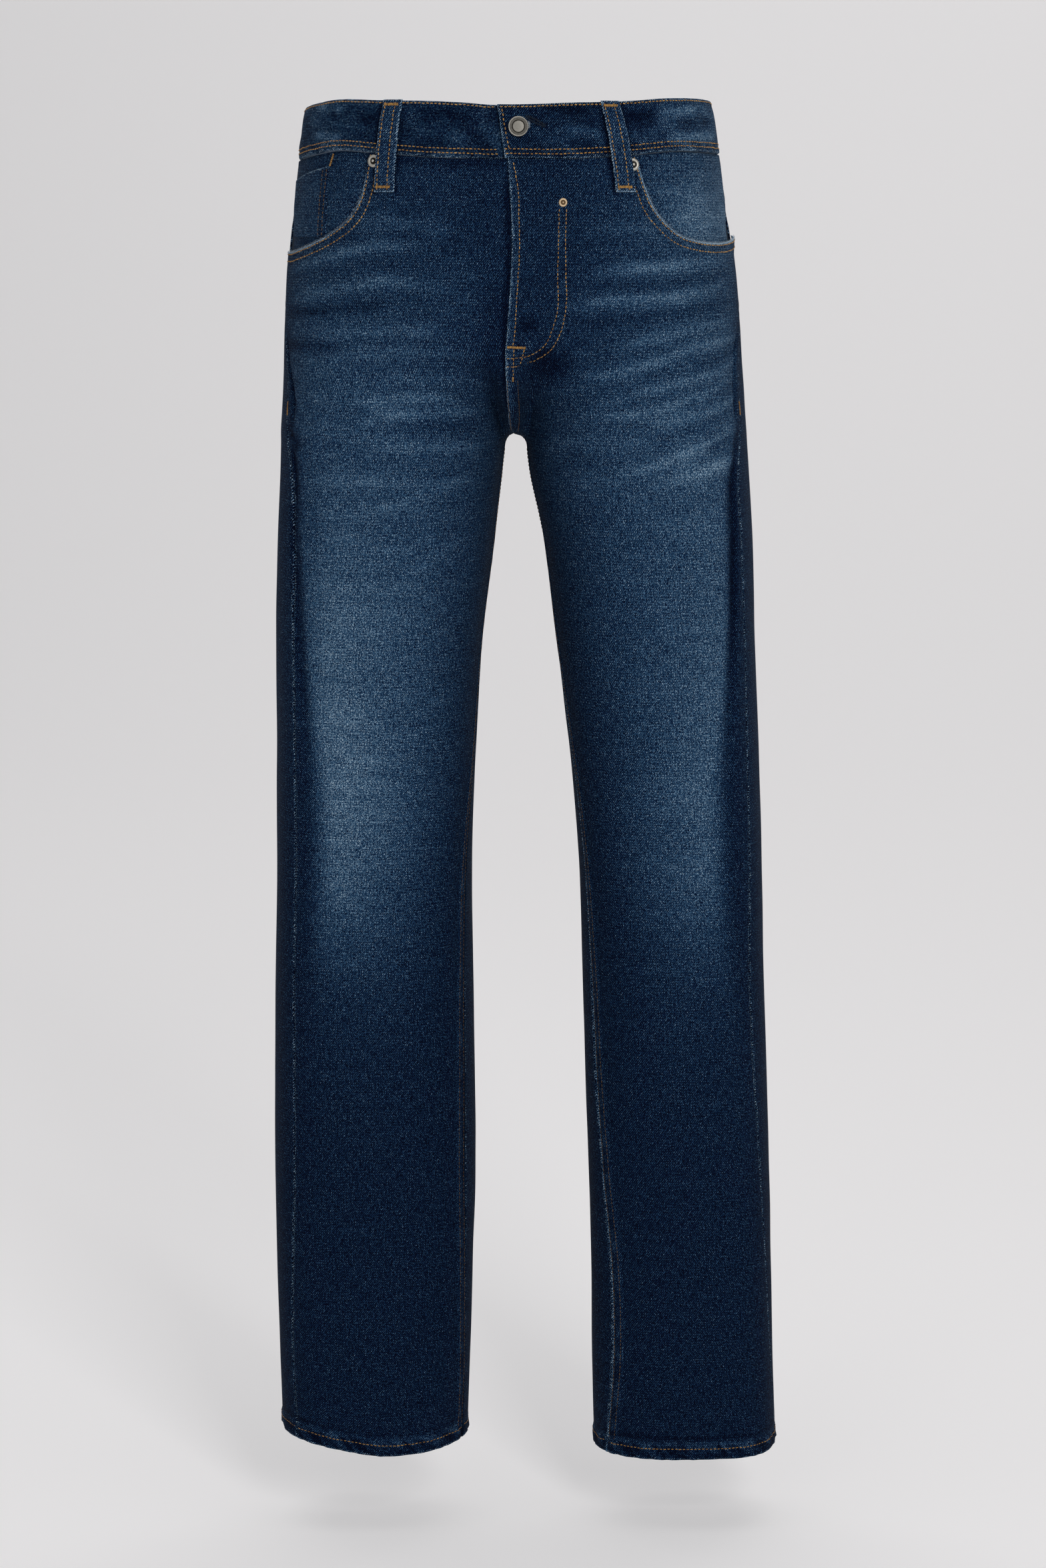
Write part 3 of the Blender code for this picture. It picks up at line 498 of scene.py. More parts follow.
CREASE_STEPS = 18


def creases(girth, height):
    """Rise and paleness of all creases, a paleness less than 0 being painted shade: ridges whose section
    is (1 - 0.6 q^2) exp(-q^2), q being the distance on the ruler over the width. Each dies away over a
    quarter of its length."""
    x = around(girth, height)
    rise, pale = np.zeros(x.shape), np.zeros(x.shape)
    for number, crease in enumerate(CREASES):
        t = np.linspace(0, len(crease.places) - 1, CREASE_STEPS)
        line_girth, line_height = traced(crease.places, t)
        line_x = around(line_girth, line_height)
        margin = 3 * crease.width
        near = ((x > line_x.min() - margin) & (x < line_x.max() + margin)
                & (height > line_height.min() - margin) & (height < line_height.max() + margin))
        if not near.any():
            continue
        px, py = x[near][:, None], height[near][:, None]
        ax, ay = line_x[None, :-1], line_height[None, :-1]
        dx, dy = np.diff(line_x)[None, :], np.diff(line_height)[None, :]
        along = np.clip(((px - ax) * dx + (py - ay) * dy) / (dx * dx + dy * dy), 0, 1)
        distance = np.hypot(px - ax - along * dx, py - ay - along * dy)
        nearest = np.argmin(distance, axis=1)
        rows = np.arange(len(nearest))
        share = (nearest + along[rows, nearest]) / (CREASE_STEPS - 1)
        uneven = 1 + 0.35 * soft_noise(300 + number, share * 5, np.zeros(share.shape))
        ends = ease(0, 0.28, share) * ease(1, 0.72, share) * uneven
        q = distance[rows, nearest] / (crease.width * (1 + 0.2 * uneven))
        rise[near] += crease.rise * ends * (1 - 0.6 * q ** 2) * np.exp(-q ** 2)
        pale[near] += crease.pale * ends * np.exp(-q ** 2 / 1.6)
    return rise, pale


# How far each leg has faded, by height: the level at its palest, and the turns where the pale
# zone starts on the inner side, is palest from and to, and has ended on the outer side.
Fade = namedtuple("Fade", "height level inner palest outer end")
RIGHT_FADE = rows_of(
    Fade,
    (-60, .18, .10, .45, .75, 1.0), (-107, .26, .04, .55, .76, .97), (-155, .40, .02, .56, .76, .93),
    (-206, .54, .02, .58, .73, .865), (-230, .56, -.06, .60, .72, .845),
    (-300, .68, -.02, .64, .72, .870), (-360, .99, .06, .70, .74, .860),
    (-440, 1.10, .06, .70, .74, .855), (-515, 1.22, .06, .69, .73, .865),
    (-567, 1.02, .08, .66, .71, .88), (-620, .62, .08, .62, .70, .90), (-673, .22, .10, .50, .68, .92),
    (-727, .10, .10, .50, .70, .95), (-800, .04, .10, .50, .70, .95), (-1047, .02, .10, .50, .70, .95))
LEFT_FADE = rows_of(
    Fade,
    (-60, .45, .20, .60, .85, 1.05), (-107, .50, .20, .64, .84, 1.0), (-155, .50, .15, .62, .80, .92),
    (-206, .60, .08, .62, .76, .855), (-256, .65, -.02, .66, .76, .825), (-307, .71, .05, .71, .76, .812),
    (-360, .76, .12, .72, .76, .805), (-440, .88, .12, .71, .74, .79), (-515, .96, .12, .69, .71, .79),
    (-567, .93, .12, .66, .69, .80), (-620, .50, .16, .58, .68, .84), (-673, .22, .16, .55, .68, .88),
    (-727, .10, .16, .50, .70, .95), (-800, .05, .16, .50, .70, .95), (-1047, .02, .16, .50, .70, .95))
BACK_FADE = rows_of(
    Fade,
    (-40, .30, 1.05, 1.35, 1.75, 2.0), (-120, .42, 1.05, 1.40, 1.75, 2.0),
    (-200, .60, 1.05, 1.35, 1.70, 1.95), (-300, .55, 1.10, 1.40, 1.65, 1.95),
    (-450, .45, 1.10, 1.40, 1.65, 1.95), (-600, .40, 1.10, 1.40, 1.65, 1.95),
    (-700, .20, 1.10, 1.40, 1.65, 1.95), (-800, .08, 1.10, 1.40, 1.65, 1.95),
    (-1047, .03, 1.10, 1.40, 1.65, 1.95))


def faded(girth, height):
    """0 where the cloth has kept its dye and 1 at its palest: the level at this height, less along
    a slope on the inner side, and less in a firm step at the thigh's fold on the outer side, with
    pale streaks, a paler line by the fly and a paler upper part."""
    turn = np.abs(wrap(girth))
    soft = 0.045 + 0.15 * ease(-190, -120, height) + 0.10 * ease(-410, -540, height)
    firm = np.where(np.asarray(girth) > 0, 0.72, 0.56)
    total = np.zeros(np.shape(girth))
    for rows, here in ((RIGHT_FADE, (girth < 0) & (turn < 1.1)), (LEFT_FADE, (girth >= 0) & (turn < 1.1)),
                       (BACK_FADE, turn >= 1.0)):
        level, inner, palest, outer, end = (straight(rows, name, height) for name in rows[0]._fields[1:])
        up = np.clip((turn - inner) / (palest - inner), 0, 1)
        up = (0.75 * up + 0.25 * up * up * (3 - 2 * up)) ** 1.15
        slope = 1 - ease(0, 1, (turn - outer) / (end - outer))
        step = slope if rows is BACK_FADE else 1 - ease(0, 1, (turn - end) / soft + 1)
        total = total + np.where(here, level * up * (slope + firm * (step - slope)), 0)
    streak = soft_noise(17, around(girth, height) / 34, height / 6.5)
    by_fly = 0.07 * np.exp(-((girth + 0.22) / 0.15) ** 2) * ease(-215, -150, height)
    by_fly = by_fly + 0.06 * np.exp(-((height + 128) / 20) ** 2) * ease(-0.08, -0.16, girth)
    yoke = ease(-102, -88, height) * ease(-0.05, -0.10, girth) * ease(0.5, 0.4, turn)
    return (total * (1 + 0.12 * streak) + by_fly - 0.07 * yoke
            + 0.17 * ease(-900, -230, height) - 0.05)


# ---- the lift of each piece's face
def body_relief(girth, height):
    """The drape that every layer follows: the creases, and slow waves of the cloth."""
    rise, _ = creases(girth, height)
    x = around(girth, height)
    slow = soft_noise(11, x / 55, height / 75) * 0.55 + soft_noise(12, x / 24, height / 34) * 0.18
    return rise + slow * ease(-25, -60, height)


def side_turn(girth, height):
    """The turn of the side seam on the place's own half."""
    return np.where(np.asarray(girth) < 0, straight(RIGHT_SIDE, "girth", height),
                    straight(LEFT_SIDE, "girth", height))


def yoke_seam(turn):
    """Height of the yoke's seam: it falls from the side seam to the centre back."""
    return YOKE_SIDE + (YOKE_CENTRE - YOKE_SIDE) * (turn - 1)


def band_seam(girth):
    """Height of the waist seam."""
    return column(BAND_EDGES, "seam", wrap(girth))


def band_top(girth):
    """Height of the waistband's top edge."""
    return column(BAND_EDGES, "top", wrap(girth))


def hem_rope(girth, height):
    """The slanting puckers that its stitches draw in the rolled hem, from -1 to 1."""
    above = height - HEM
    return soft_noise(21, (around(girth, height) + above * 0.9) / 4.2, above / 9)


def hem_relief(girth, height):
    """The rolled hem: a puckered ridge above the edge, and its row of stitches drawn in."""
    above = height - HEM
    row = -0.45 * np.exp(-((above - 9) / 1.1) ** 2)
    return ease(13, 9, above) * (0.7 + hem_rope(girth, height) * 0.65) + row


def hem_shade(girth, height):
    """How the hem has worn and is shaded: pale and dark in turn along its puckers, palest in patches along
    the fold of its turn, and painted shade in the crease above that."""
    x = around(girth, height)
    above = height - HEM
    rope = hem_rope(girth, height) * ease(14, 11, above)
    fold = np.exp(-((above - 13.0) / 2.2) ** 2) * (0.7 + 0.7 * soft_noise(22, x / 8, above / 20))
    # Painted shade of the crease above the fold.
    crease = np.exp(-((above - 18.0) / 2.0) ** 2) * (0.7 + 0.7 * soft_noise(24, x / 30, above / 20))
    return 0.42 * rope + 0.34 * fold - 0.24 * crease - 0.10 * ease(10, 7, above)


def seam_relief(from_seam, width=10.0, rise=0.7):
    """A flat-felled seam's ridge: raised beside the seam as far as width."""
    return rise * ease(width + 1.5, width - 1.0, from_seam)


def pucker(seed, x, distance, spacing=5.0, size=0.22, width=5.0):
    """The ripples that a stitched seam draws in the cloth beside it."""
    return size * soft_noise(seed, x / spacing, distance / 12) * np.exp(-(distance / width) ** 2)


def side_puckers(seed, girth, height):
    """The ripples beside a side seam."""
    from_side = np.abs(side_turn(girth, height) - np.abs(girth)) * GIRTH_MM
    return pucker(seed, height, from_side, 6.5, 0.25, 8.0)


def waist_puckers(seed, girth, height, size=0.30):
    """The ripples below the waistband."""
    return pucker(seed, around(girth, height), band_seam(girth) - height, 6.0, size, 10.0)


def front_lift(girth, height):
    """What both fronts share: the drape, and the ripples and ridges beside their seams."""
    turn = np.abs(girth)
    below_fork = ease(FORK + 2, FORK - 6, height)
    from_inseam = turn * reach(girth, height)
    inseam = below_fork * (seam_relief(from_inseam) + pucker(31, height, from_inseam, 6.0, 0.20, 9.0))
    gape = (0.8 + 1.4 * (girth > 0)) * ease(0.80, 0.97, turn) * ease(-100, -86, height)
    return (body_relief(girth, height) + inseam + side_puckers(33, girth, height) + gape
            + waist_puckers(34, girth, height) + hem_relief(girth, height))


def left_front_lift(girth, height):
    """Outside of the left front, which carries the doubled fly and the rise strip."""
    fly = (column(FLY_CURVE, "girth", height) - girth) * GIRTH_MM
    on_fly = ease(-2.5, 1.5, fly) * ease(-181.5, -177, height)
    on_strip = ease(-1.5, 1.0, (RISE_STRIP - girth) * GIRTH_MM) * ease(-176, -180, height)
    over = FLY_RISE * np.maximum(on_fly, 0.8 * on_strip * ease(-237, -232, height))
    return front_lift(girth, height) + over


def right_front_lift(girth, height):
    """Outside of the right front, which passes beneath the left one at the fly."""
    return front_lift(girth, height) - 0.75 * ease(-0.13, -0.02, girth) * ease(-237, -224, height)


Front = namedtuple("Front", "side sign scoop lift")
FRONTS = (Front("right", -1, RIGHT_SCOOP, right_front_lift), Front("left", 1, LEFT_SCOOP, left_front_lift))


def back_lift(girth, height):
    """Outside of the backs and yokes: ridges beside the yoke's seam and the back rise."""
    turn = np.abs(girth)
    from_centre = (2 - turn) * reach(girth, height)
    rise_side = np.where(girth > 0, seam_relief(from_centre), 0.0) * ease(FORK - 2, FORK + 8, height)
    line = yoke_seam(turn)
    yoke = np.where(height < line, seam_relief(line - height, 9.0, 0.6), 0.0)
    puckers = (pucker(44, around(girth, height), np.abs(height - line), 6.0, 0.22, 9.0)
               + pucker(45, height, from_centre, 6.0, 0.22, 9.0) + waist_puckers(46, girth, height, 0.28))
    return (body_relief(girth, height) + rise_side + yoke + side_puckers(43, girth, height) + puckers
            + hem_relief(girth, height))


def facing_lift(girth, height):
    """The facing lies under the front, and comes out to the skin at the side seam."""
    at_side = ease(0.84, 1.0, np.abs(girth)) * ease(-84.0, -58.0, height)
    slow = soft_noise(52, around(girth, height) / 26, height / 30) * 0.4
    return FACING_LIFT * (1 - at_side) + waist_puckers(51, girth, height) + slow


def coin_lift(girth, height):
    """The coin pocket lies on the facing, a little fuller in its middle."""
    fuller = 0.4 * ease(COIN_INSIDE, 0.76, np.abs(girth)) * ease(-86, -70, height)
    return facing_lift(girth, height) + COIN_LIFT + fuller


@functools.lru_cache(maxsize=2)
def pocket_sides(sign):
    """A back pocket's sides: heights, and the girths of the outer and the inner side. The inner
    side is straight as seen from behind, and the other is the pocket's width away round the skin."""
    turn = np.linspace(1.1, 1.9, 321)
    heights = np.linspace(POCKET_CORNER - 20, POCKET_TOP + 10, 60)
    sides = []
    for height in heights:
        line = skin(sign * turn, np.full(turn.shape, height))[:, :2]
        run = np.append(0, np.cumsum(np.linalg.norm(np.diff(line, axis=0), axis=1)))
        down = (POCKET_TOP - height) / (POCKET_TOP - POCKET_CORNER)
        offset = np.minimum.accumulate(np.abs(line[:, 0]))
        inner = np.interp(-np.interp(down, (0, 1), POCKET_INSIDE), -offset, turn)
        outer_run = np.interp(inner, turn, run) - np.interp(down, (0, 1), POCKET_WIDTH)
        sides.append((np.interp(outer_run, run, turn), inner))
    return (heights,) + tuple(np.array(sides).T)


def pocket_middle(sign, height):
    """A back pocket's middle and its half width at a height, in girth."""
    heights, outer, inner = pocket_sides(sign)
    outer = np.interp(height, heights, outer)
    inner = np.interp(height, heights, inner)
    return (outer + inner) / 2, (inner - outer) / 2


def on_pocket(sign, across, height):
    """Girth of a place on a back pocket; across is -1 at its side edge and 1 at its inner edge."""
    middle, half = pocket_middle(sign, height)
    return middle + across * half


def back_pocket_lift(girth, height):
    """A patch pocket on the back, fuller in its middle, its mouth hemmed."""
    middle, half = pocket_middle(1 if np.mean(girth) > 0 else -1, height)
    across = (np.abs(girth) - middle) / half
    down = (POCKET_TOP - height) / (POCKET_TOP - POCKET_CORNER)
    fuller = 1.2 * (1 - np.clip(np.abs(across), 0, 1) ** 2.5) * np.clip(1 - (2 * down - 0.9) ** 2, 0, 1)
    hem = 0.5 * ease(POCKET_TOP - 17, POCKET_TOP - 14, height)
    x = around(girth, height)
    side = (1 - np.clip(np.abs(across), 0, 1)) * 54
    return (back_lift(girth, height) + POCKET_GAP + DENIM + fuller + hem
            + pucker(61, height, side, 6.0, 0.25, 8.0) + soft_noise(62, x / 30, height / 40) * 0.3)


def band_run(girth):
    """Girth counted on round the left from the waistband's left end, 0 to 4.24."""
    return np.where(girth < BAND_START - 0.002, girth + 4, girth)


def band_puckers(x, from_top, from_seam):
    """The waistband's wrinkles: drawn in by its stitches, slanting, and dying out inwards."""
    lean = x + from_seam * 0.7
    return (pucker(71, x - from_top * 0.5, from_top, 5.2, 0.42, 6.0)
            + pucker(72, lean, from_seam, 5.4, 0.62, 11.0)
            + soft_noise(73, lean / 15, from_seam / 13) * 0.55
            * ease(2, 9, np.minimum(from_top, from_seam)))


def band_lift(girth, height, run=None):
    """Outside of the waistband: a soft roll between its two stitched edges, puckered along
    them. Its right end dives under its left one."""
    run = band_run(girth) if run is None else run
    x = around(girth, height)
    top, seam = band_top(girth), band_seam(girth)
    edge = np.minimum(top - height, height - seam)
    crown = 0.5 * ease(0, 9, edge)
    puckers = band_puckers(x, top - height, height - seam) + creases(girth, height)[0]
    groove = -0.35 * np.exp(-((height - seam - 5.0) / 1.6) ** 2)
    under = ease(BAND_RAMP, BAND_UNDER, run)
    turn = np.abs(girth)
    flat = 1.2 * ease(0.55, 0.92, turn) * ease(1.45, 1.1, turn)
    calm = 1 - 0.85 * ease(0.22, 0.08, np.abs(girth))
    return (BAND_LIFT - flat + (crown + puckers) * calm + groove
            - (BAND_WALL + UNDERLAP_GAP + 1.2) * under)


# ---- meshes
def shell_faces(rows, columns, inner_rows, inner_columns):
    """Faces of a wall between an outside grid and an inside grid that keeps every second row and
    column of it. Round the edge, each inside step is joined to two outside steps."""
    outer = np.arange(rows * columns).reshape(rows, columns)
    inner = np.arange(inner_rows * inner_columns).reshape(inner_rows, inner_columns) + rows * columns
    face = np.stack([outer[:-1, :-1], outer[1:, :-1], outer[1:, 1:], outer[:-1, 1:]], -1).reshape(-1, 4)
    back = np.stack([inner[:-1, :-1], inner[:-1, 1:], inner[1:, 1:], inner[1:, :-1]], -1).reshape(-1, 4)

    def edge_loop(grid):
        return np.concatenate([grid[:-1, 0], grid[-1, :-1], grid[:0:-1, -1], grid[0, :0:-1]])

    loop, inner_loop = edge_loop(outer), edge_loop(inner)
    start, middle, end = loop[0::2], loop[1::2], np.roll(loop, -2)[0::2]
    rim = np.stack([end, middle, start, inner_loop, np.roll(inner_loop, -1)], -1)
    return face, rim, back


EDGE_PLACES = (0.0, 0.35, 0.8)


def evenly(length, spacing):
    """Places from 0 to length, closer at both ends, an odd number of them."""
    last = EDGE_PLACES[-1]
    count = max(2, int(round((length - 2 * last) / spacing)))
    count += count % 2
    middle = np.linspace(last, length - last, count + 1)[1:-1]
    return np.concatenate([EDGE_PLACES, middle, length - np.array(EDGE_PLACES[::-1])])


def rolled(lift, *distances):
    """The outside rolls in at an edge: 1 - sqrt(1 - (1 - d/width)^2) times the roll."""
    for distance in distances:
        q = np.clip(1 - np.asarray(distance, float) / ROLL_WIDTH, 0, 1)
        lift = lift - EDGE_ROLL * (1 - np.sqrt(1 - q * q)) * 2
    return lift


def edge_distances(points):
    """Distance of each grid point from the grid's four edges, along its rows and columns."""
    down = np.linalg.norm(np.diff(points, axis=0), axis=-1)
    across = np.linalg.norm(np.diff(points, axis=1), axis=-1)
    top = np.vstack([np.zeros(points.shape[1]), np.cumsum(down, axis=0)])
    left = np.hstack([np.zeros((points.shape[0], 1)), np.cumsum(across, axis=1)])
    return top, top[-1:] - top, left, left[:, -1:] - left


def loop_shadows(girth, height):
    """Painted shadow of the belt loops: 1 along their edges, stronger on the side of lower girth."""
    total = np.zeros(np.shape(girth))
    for loop in LOOPS:
        share = np.clip((18.0 - height) / (18.0 - LOOP_FOOT), 0, 1)
        middle = loop.top + (loop.foot - loop.top) * share
        apart = np.abs(wrap(girth - middle)) * BAND_MM - LOOP_WIDTH / 2
        shadow = np.exp(-((apart - 0.6) / 2.0) ** 2) * (1 + 0.9 * (wrap(girth - middle) < 0))
        total += shadow * ease(LOOP_FOOT - 4, LOOP_FOOT, height)
    return total


# The materials of each kind of cloth: its face and its reverse.
DENIM_LOOK = ("worn denim", "denim reverse")
BAND_LOOK = ("band denim", "denim reverse")
COTTON_LOOK = ("pocket cotton", "pocket cotton")
TAPE_LOOK = ("zip tape", "zip tape")


def cloth_shell(node, slot, girth, height, lift, wall, middle, fade=None, wear=None, steep=1.0,
                look=DENIM_LOOK, across=None, loop_shadowed=True, held="hung"):
    """A closed piece of cloth on grids of girth and height whose columns run with growing girth,
    handed over for its node. Its outside is lifted and rolls
    in at its edges, and its inside lies wall behind. The cloth's own coordinates are the length
    round the skin from its middle, and the height."""
    top, foot, left, right = edge_distances(skin(girth, height))
    top = top * steep
    outside = lifted(girth, height, rolled(lift, top, foot, left, right))
    every = (slice(None, None, 2), slice(None, None, 2))
    inside = lifted(girth[every], height[every], (lift - np.asarray(wall, float))[every])
    faces = shell_faces(*girth.shape, *inside.shape[:2])
    corners = np.concatenate([part.reshape(-1) for part in faces])
    sizes = np.concatenate([np.full(len(part), part.shape[1]) for part in faces])
    index = np.concatenate([np.full(len(part), paint) for part, paint in zip(faces, (0, 0, 1))])
    if across is None:
        across = around(girth, height) - around(np.full(height.shape, middle), height)
    offset = name_number(node) % 97 * 7.3
    uv = np.stack([across + offset, height + offset * 0.7], -1)
    # The creases' paleness, with painted shade in their troughs.
    pale = creases(girth, height)[1]
    # Painted shadow beside the belt loops darkens the cloth here.
    if loop_shadowed:
        pale = pale - 0.30 * loop_shadows(girth, height)
    # The fade, with painted shade and painted shadow added, kept as a point attribute.
    shade = np.clip((faded(girth, height) if fade is None else fade) + pale, -0.35, 1.6)
    wear = np.zeros(girth.shape) if wear is None else wear(top, foot, left, right)
    uv, shade, wear = (np.concatenate([a.reshape(-1, *a.shape[2:]), a[every].reshape(-1, *a.shape[2:])])
                       for a in (uv, shade, wear))
    points = np.concatenate([outside.reshape(-1, 3), inside.reshape(-1, 3)])
    thing = put_faces(node, points, corners, sizes, look, index, uv, {"fade": shade, "wear": wear})
    hand_over(thing, node)
    declare_sheet(girth, height)


def panel(node, slot, sign, turn, height, lift, wall, middle, fade=None, **more):
    """A piece of cloth on grids of turn and height that run from the front back, on the right
    (sign -1) or the left (1). lift is a grid or a function of girth and height."""
    girth, height = np.broadcast_arrays(sign * turn, height)
    lift = lift(girth, height) if callable(lift) else lift

    def ordered(grid):
        return np.broadcast_to(grid, girth.shape)[:, ::sign]

    fade = None if fade is None else ordered(fade)
    cloth_shell(node, slot, ordered(girth), ordered(height), ordered(lift), ordered(wall),
                sign * middle, fade, **more)


def name_number(name):
    """A number from a piece's name, the same in every run."""
    return sum((k + 1) * ord(letter) for k, letter in enumerate(name))


def put_faces(name, points, corners, sizes, look, index, uv, traits, sharp=60):
    """A mesh object from joined lists of corners and face sizes, in the materials that its look
    names. Points are in millimetres."""
    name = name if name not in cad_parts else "finished_" + name
    mesh = bpy.data.meshes.new(name)
    mesh.vertices.add(len(points))
    mesh.vertices.foreach_set("co", (np.asarray(points) * MM).astype(np.float32).ravel())
    mesh.loops.add(len(corners))
    mesh.loops.foreach_set("vertex_index", corners.astype(np.int32))
    mesh.polygons.add(len(sizes))
    mesh.polygons.foreach_set("loop_start", (np.cumsum(sizes) - sizes).astype(np.int32))
    mesh.polygons.foreach_set("loop_total", sizes.astype(np.int32))
    mesh.update(calc_edges=True)
    for paint in look:
        mesh.materials.append(bpy.data.materials[paint])
    if index is not None:
        mesh.polygons.foreach_set("material_index", index.astype(np.int32))
    if uv is not None:
        layer = mesh.uv_layers.new(name="cloth")
        layer.data.foreach_set("uv", (uv[corners] * MM).astype(np.float32).ravel())
    for trait, values in traits.items():
        attribute = mesh.attributes.new(trait, "FLOAT", "POINT")
        attribute.data.foreach_set("value", np.asarray(values, np.float32).ravel())
    mesh.shade_smooth()
    mesh.set_sharp_from_angle(angle=math.radians(sharp))
    thing = bpy.data.objects.new(name, mesh)
    bpy.context.scene.collection.objects.link(thing)
    return thing


def hand_over(thing, node=None):
    """Joins a finished piece to the frame: it rides on the one body and stands for its node."""
    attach(thing, "root")
    if node:
        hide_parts(node)


def declare_sheet(girth, height):
    """Works out a piece of cloth's size at its cut: the longest row and column of its grid
    on the skin, and the sum of its cells' areas. Nothing uses the results."""
    points = skin(girth, height) * MM
    down, across = np.diff(points, axis=0), np.diff(points, axis=1)
    length = float(np.linalg.norm(down, axis=-1).sum(axis=0).max())
    width = float(np.linalg.norm(across, axis=-1).sum(axis=1).max())
    area = float(np.linalg.norm(np.cross(across[:-1], down[:, :-1]), axis=-1).sum())
    area = min(max(area, 0.31 * width * length), width * length)


# ---- materials
class Wire:
    """A socket of a material. Arithmetic on wires and numbers adds the Math nodes for it."""

    def __init__(self, paint, socket):
        self.paint, self.socket = paint, socket

    def math(self, operation, *others):
        return self.paint.node("ShaderNodeMath", {"operation": operation}, self, *others)

    __add__ = functools.partialmethod(math, "ADD")
    __sub__ = functools.partialmethod(math, "SUBTRACT")
    __mul__ = functools.partialmethod(math, "MULTIPLY")
    __truediv__ = functools.partialmethod(math, "DIVIDE")
    sine = functools.partialmethod(math, "SINE")

    def kept(self):
        """Kept between 0 and 1."""
        return self.paint.node("ShaderNodeClamp", {}, self, 0.0, 1.0)

    def step(self, start, end):
        """0 at start and 1 at end, with level ends."""
        return self.paint.node("ShaderNodeMapRange", {"interpolation_type": "SMOOTHSTEP"},
                               self, start, end, 0.0, 1.0)


class Paint:
    """A material under construction: one Principled shader and the nodes that feed it."""

    def __init__(self, name, **constants):
        self.material = bpy.data.materials.new(name)
        self.material.use_nodes = True
        self.tree = self.material.node_tree
        self.shader = self.tree.nodes["Principled BSDF"]
        for socket, value in constants.items():
            self.shader.inputs[socket.replace("_", " ")].default_value = value

    def node(self, kind, settings, *inputs, output=0):
        """A node of this kind, its settings made first, then its inputs in order: each a wire, a
        value, or None to leave it alone."""
        node = self.tree.nodes.new(kind)
        for key, value in settings.items():
            setattr(node, key, value)
        for socket, value in zip([s for s in node.inputs if s.enabled], inputs):
            if isinstance(value, Wire):
                self.tree.links.new(value.socket, socket)
            elif value is not None:
                socket.default_value = value
        outputs = [s for s in node.outputs if s.enabled]
        return Wire(self, outputs[output])

    def place(self):
        """The piece's own coordinates in millimetres, across and up."""
        spot = self.node("ShaderNodeUVMap", {"uv_map": "cloth"})
        return (self.node("ShaderNodeSeparateXYZ", {}, spot, output=k) * 1000.0 for k in (0, 1))

    def trait(self, name):
        """A point attribute of the piece."""
        return self.node("ShaderNodeAttribute", {"attribute_name": name}, output=2)

    def noise(self, x, y, detail=0.0, roughness=0.5):
        """Noise from about -1 to 1 on two wires, in units of one blot."""
        spot = self.node("ShaderNodeCombineXYZ", {}, x, y, 0.0)
        value = self.node("ShaderNodeTexNoise", {"noise_dimensions": "2D"}, spot, 1.0, detail, roughness)
        return value * 2.0 - 1.0

    def ramp(self, at, stops):
        """A colour ramp through (place, linear colour) stops."""
        node = self.tree.nodes.new("ShaderNodeValToRGB")
        elements = node.color_ramp.elements
        while len(elements) < len(stops):
            elements.new(0.5)
        for element, (position, colour) in zip(elements, stops):
            element.position = position
            element.color = (*colour, 1)
        self.tree.links.new(at.socket, node.inputs[0])
        return Wire(self, node.outputs[0])

    def mix(self, share, first, second):
        """A mix of two colours, each a wire or a linear colour."""
        colours = [c if isinstance(c, Wire) else (*c, 1) for c in (first, second)]
        return self.node("ShaderNodeMix", {"data_type": "RGBA"}, share, *colours)

    def bump(self, height, distance, strength=1.0):
        """A bump of this height, distance being metres for one of height."""
        return self.node("ShaderNodeBump", {}, strength, distance, None, height)

    def feed(self, **wires):
        """Joins wires to the shader's sockets."""
        for socket, wire in wires.items():
            self.tree.links.new(wire.socket, self.shader.inputs[socket.replace("_", " ")])
        return self.material


# The dye's colours, from unfaded to worn through, by brightness of the face of the cloth.
BRIGHTEST = 190.0
DYE = ((0, (.0000, .0009, .0060)), (12, (.0003, .0021, .0116)),
       (20, (.0012, .0044, .0212)), (30, (.0024, .0086, .0331)),
       (45, (.0052, .0212, .0612)), (60, (.0110, .0423, .0953)),
       (80, (.0252, .0762, .1470)), (100, (.0529, .1221, .2086)),
       (120, (.0999, .1878, .2874)), (145, (.1812, .2874, .3916)),
       (190, (.4179, .5271, .6038)))


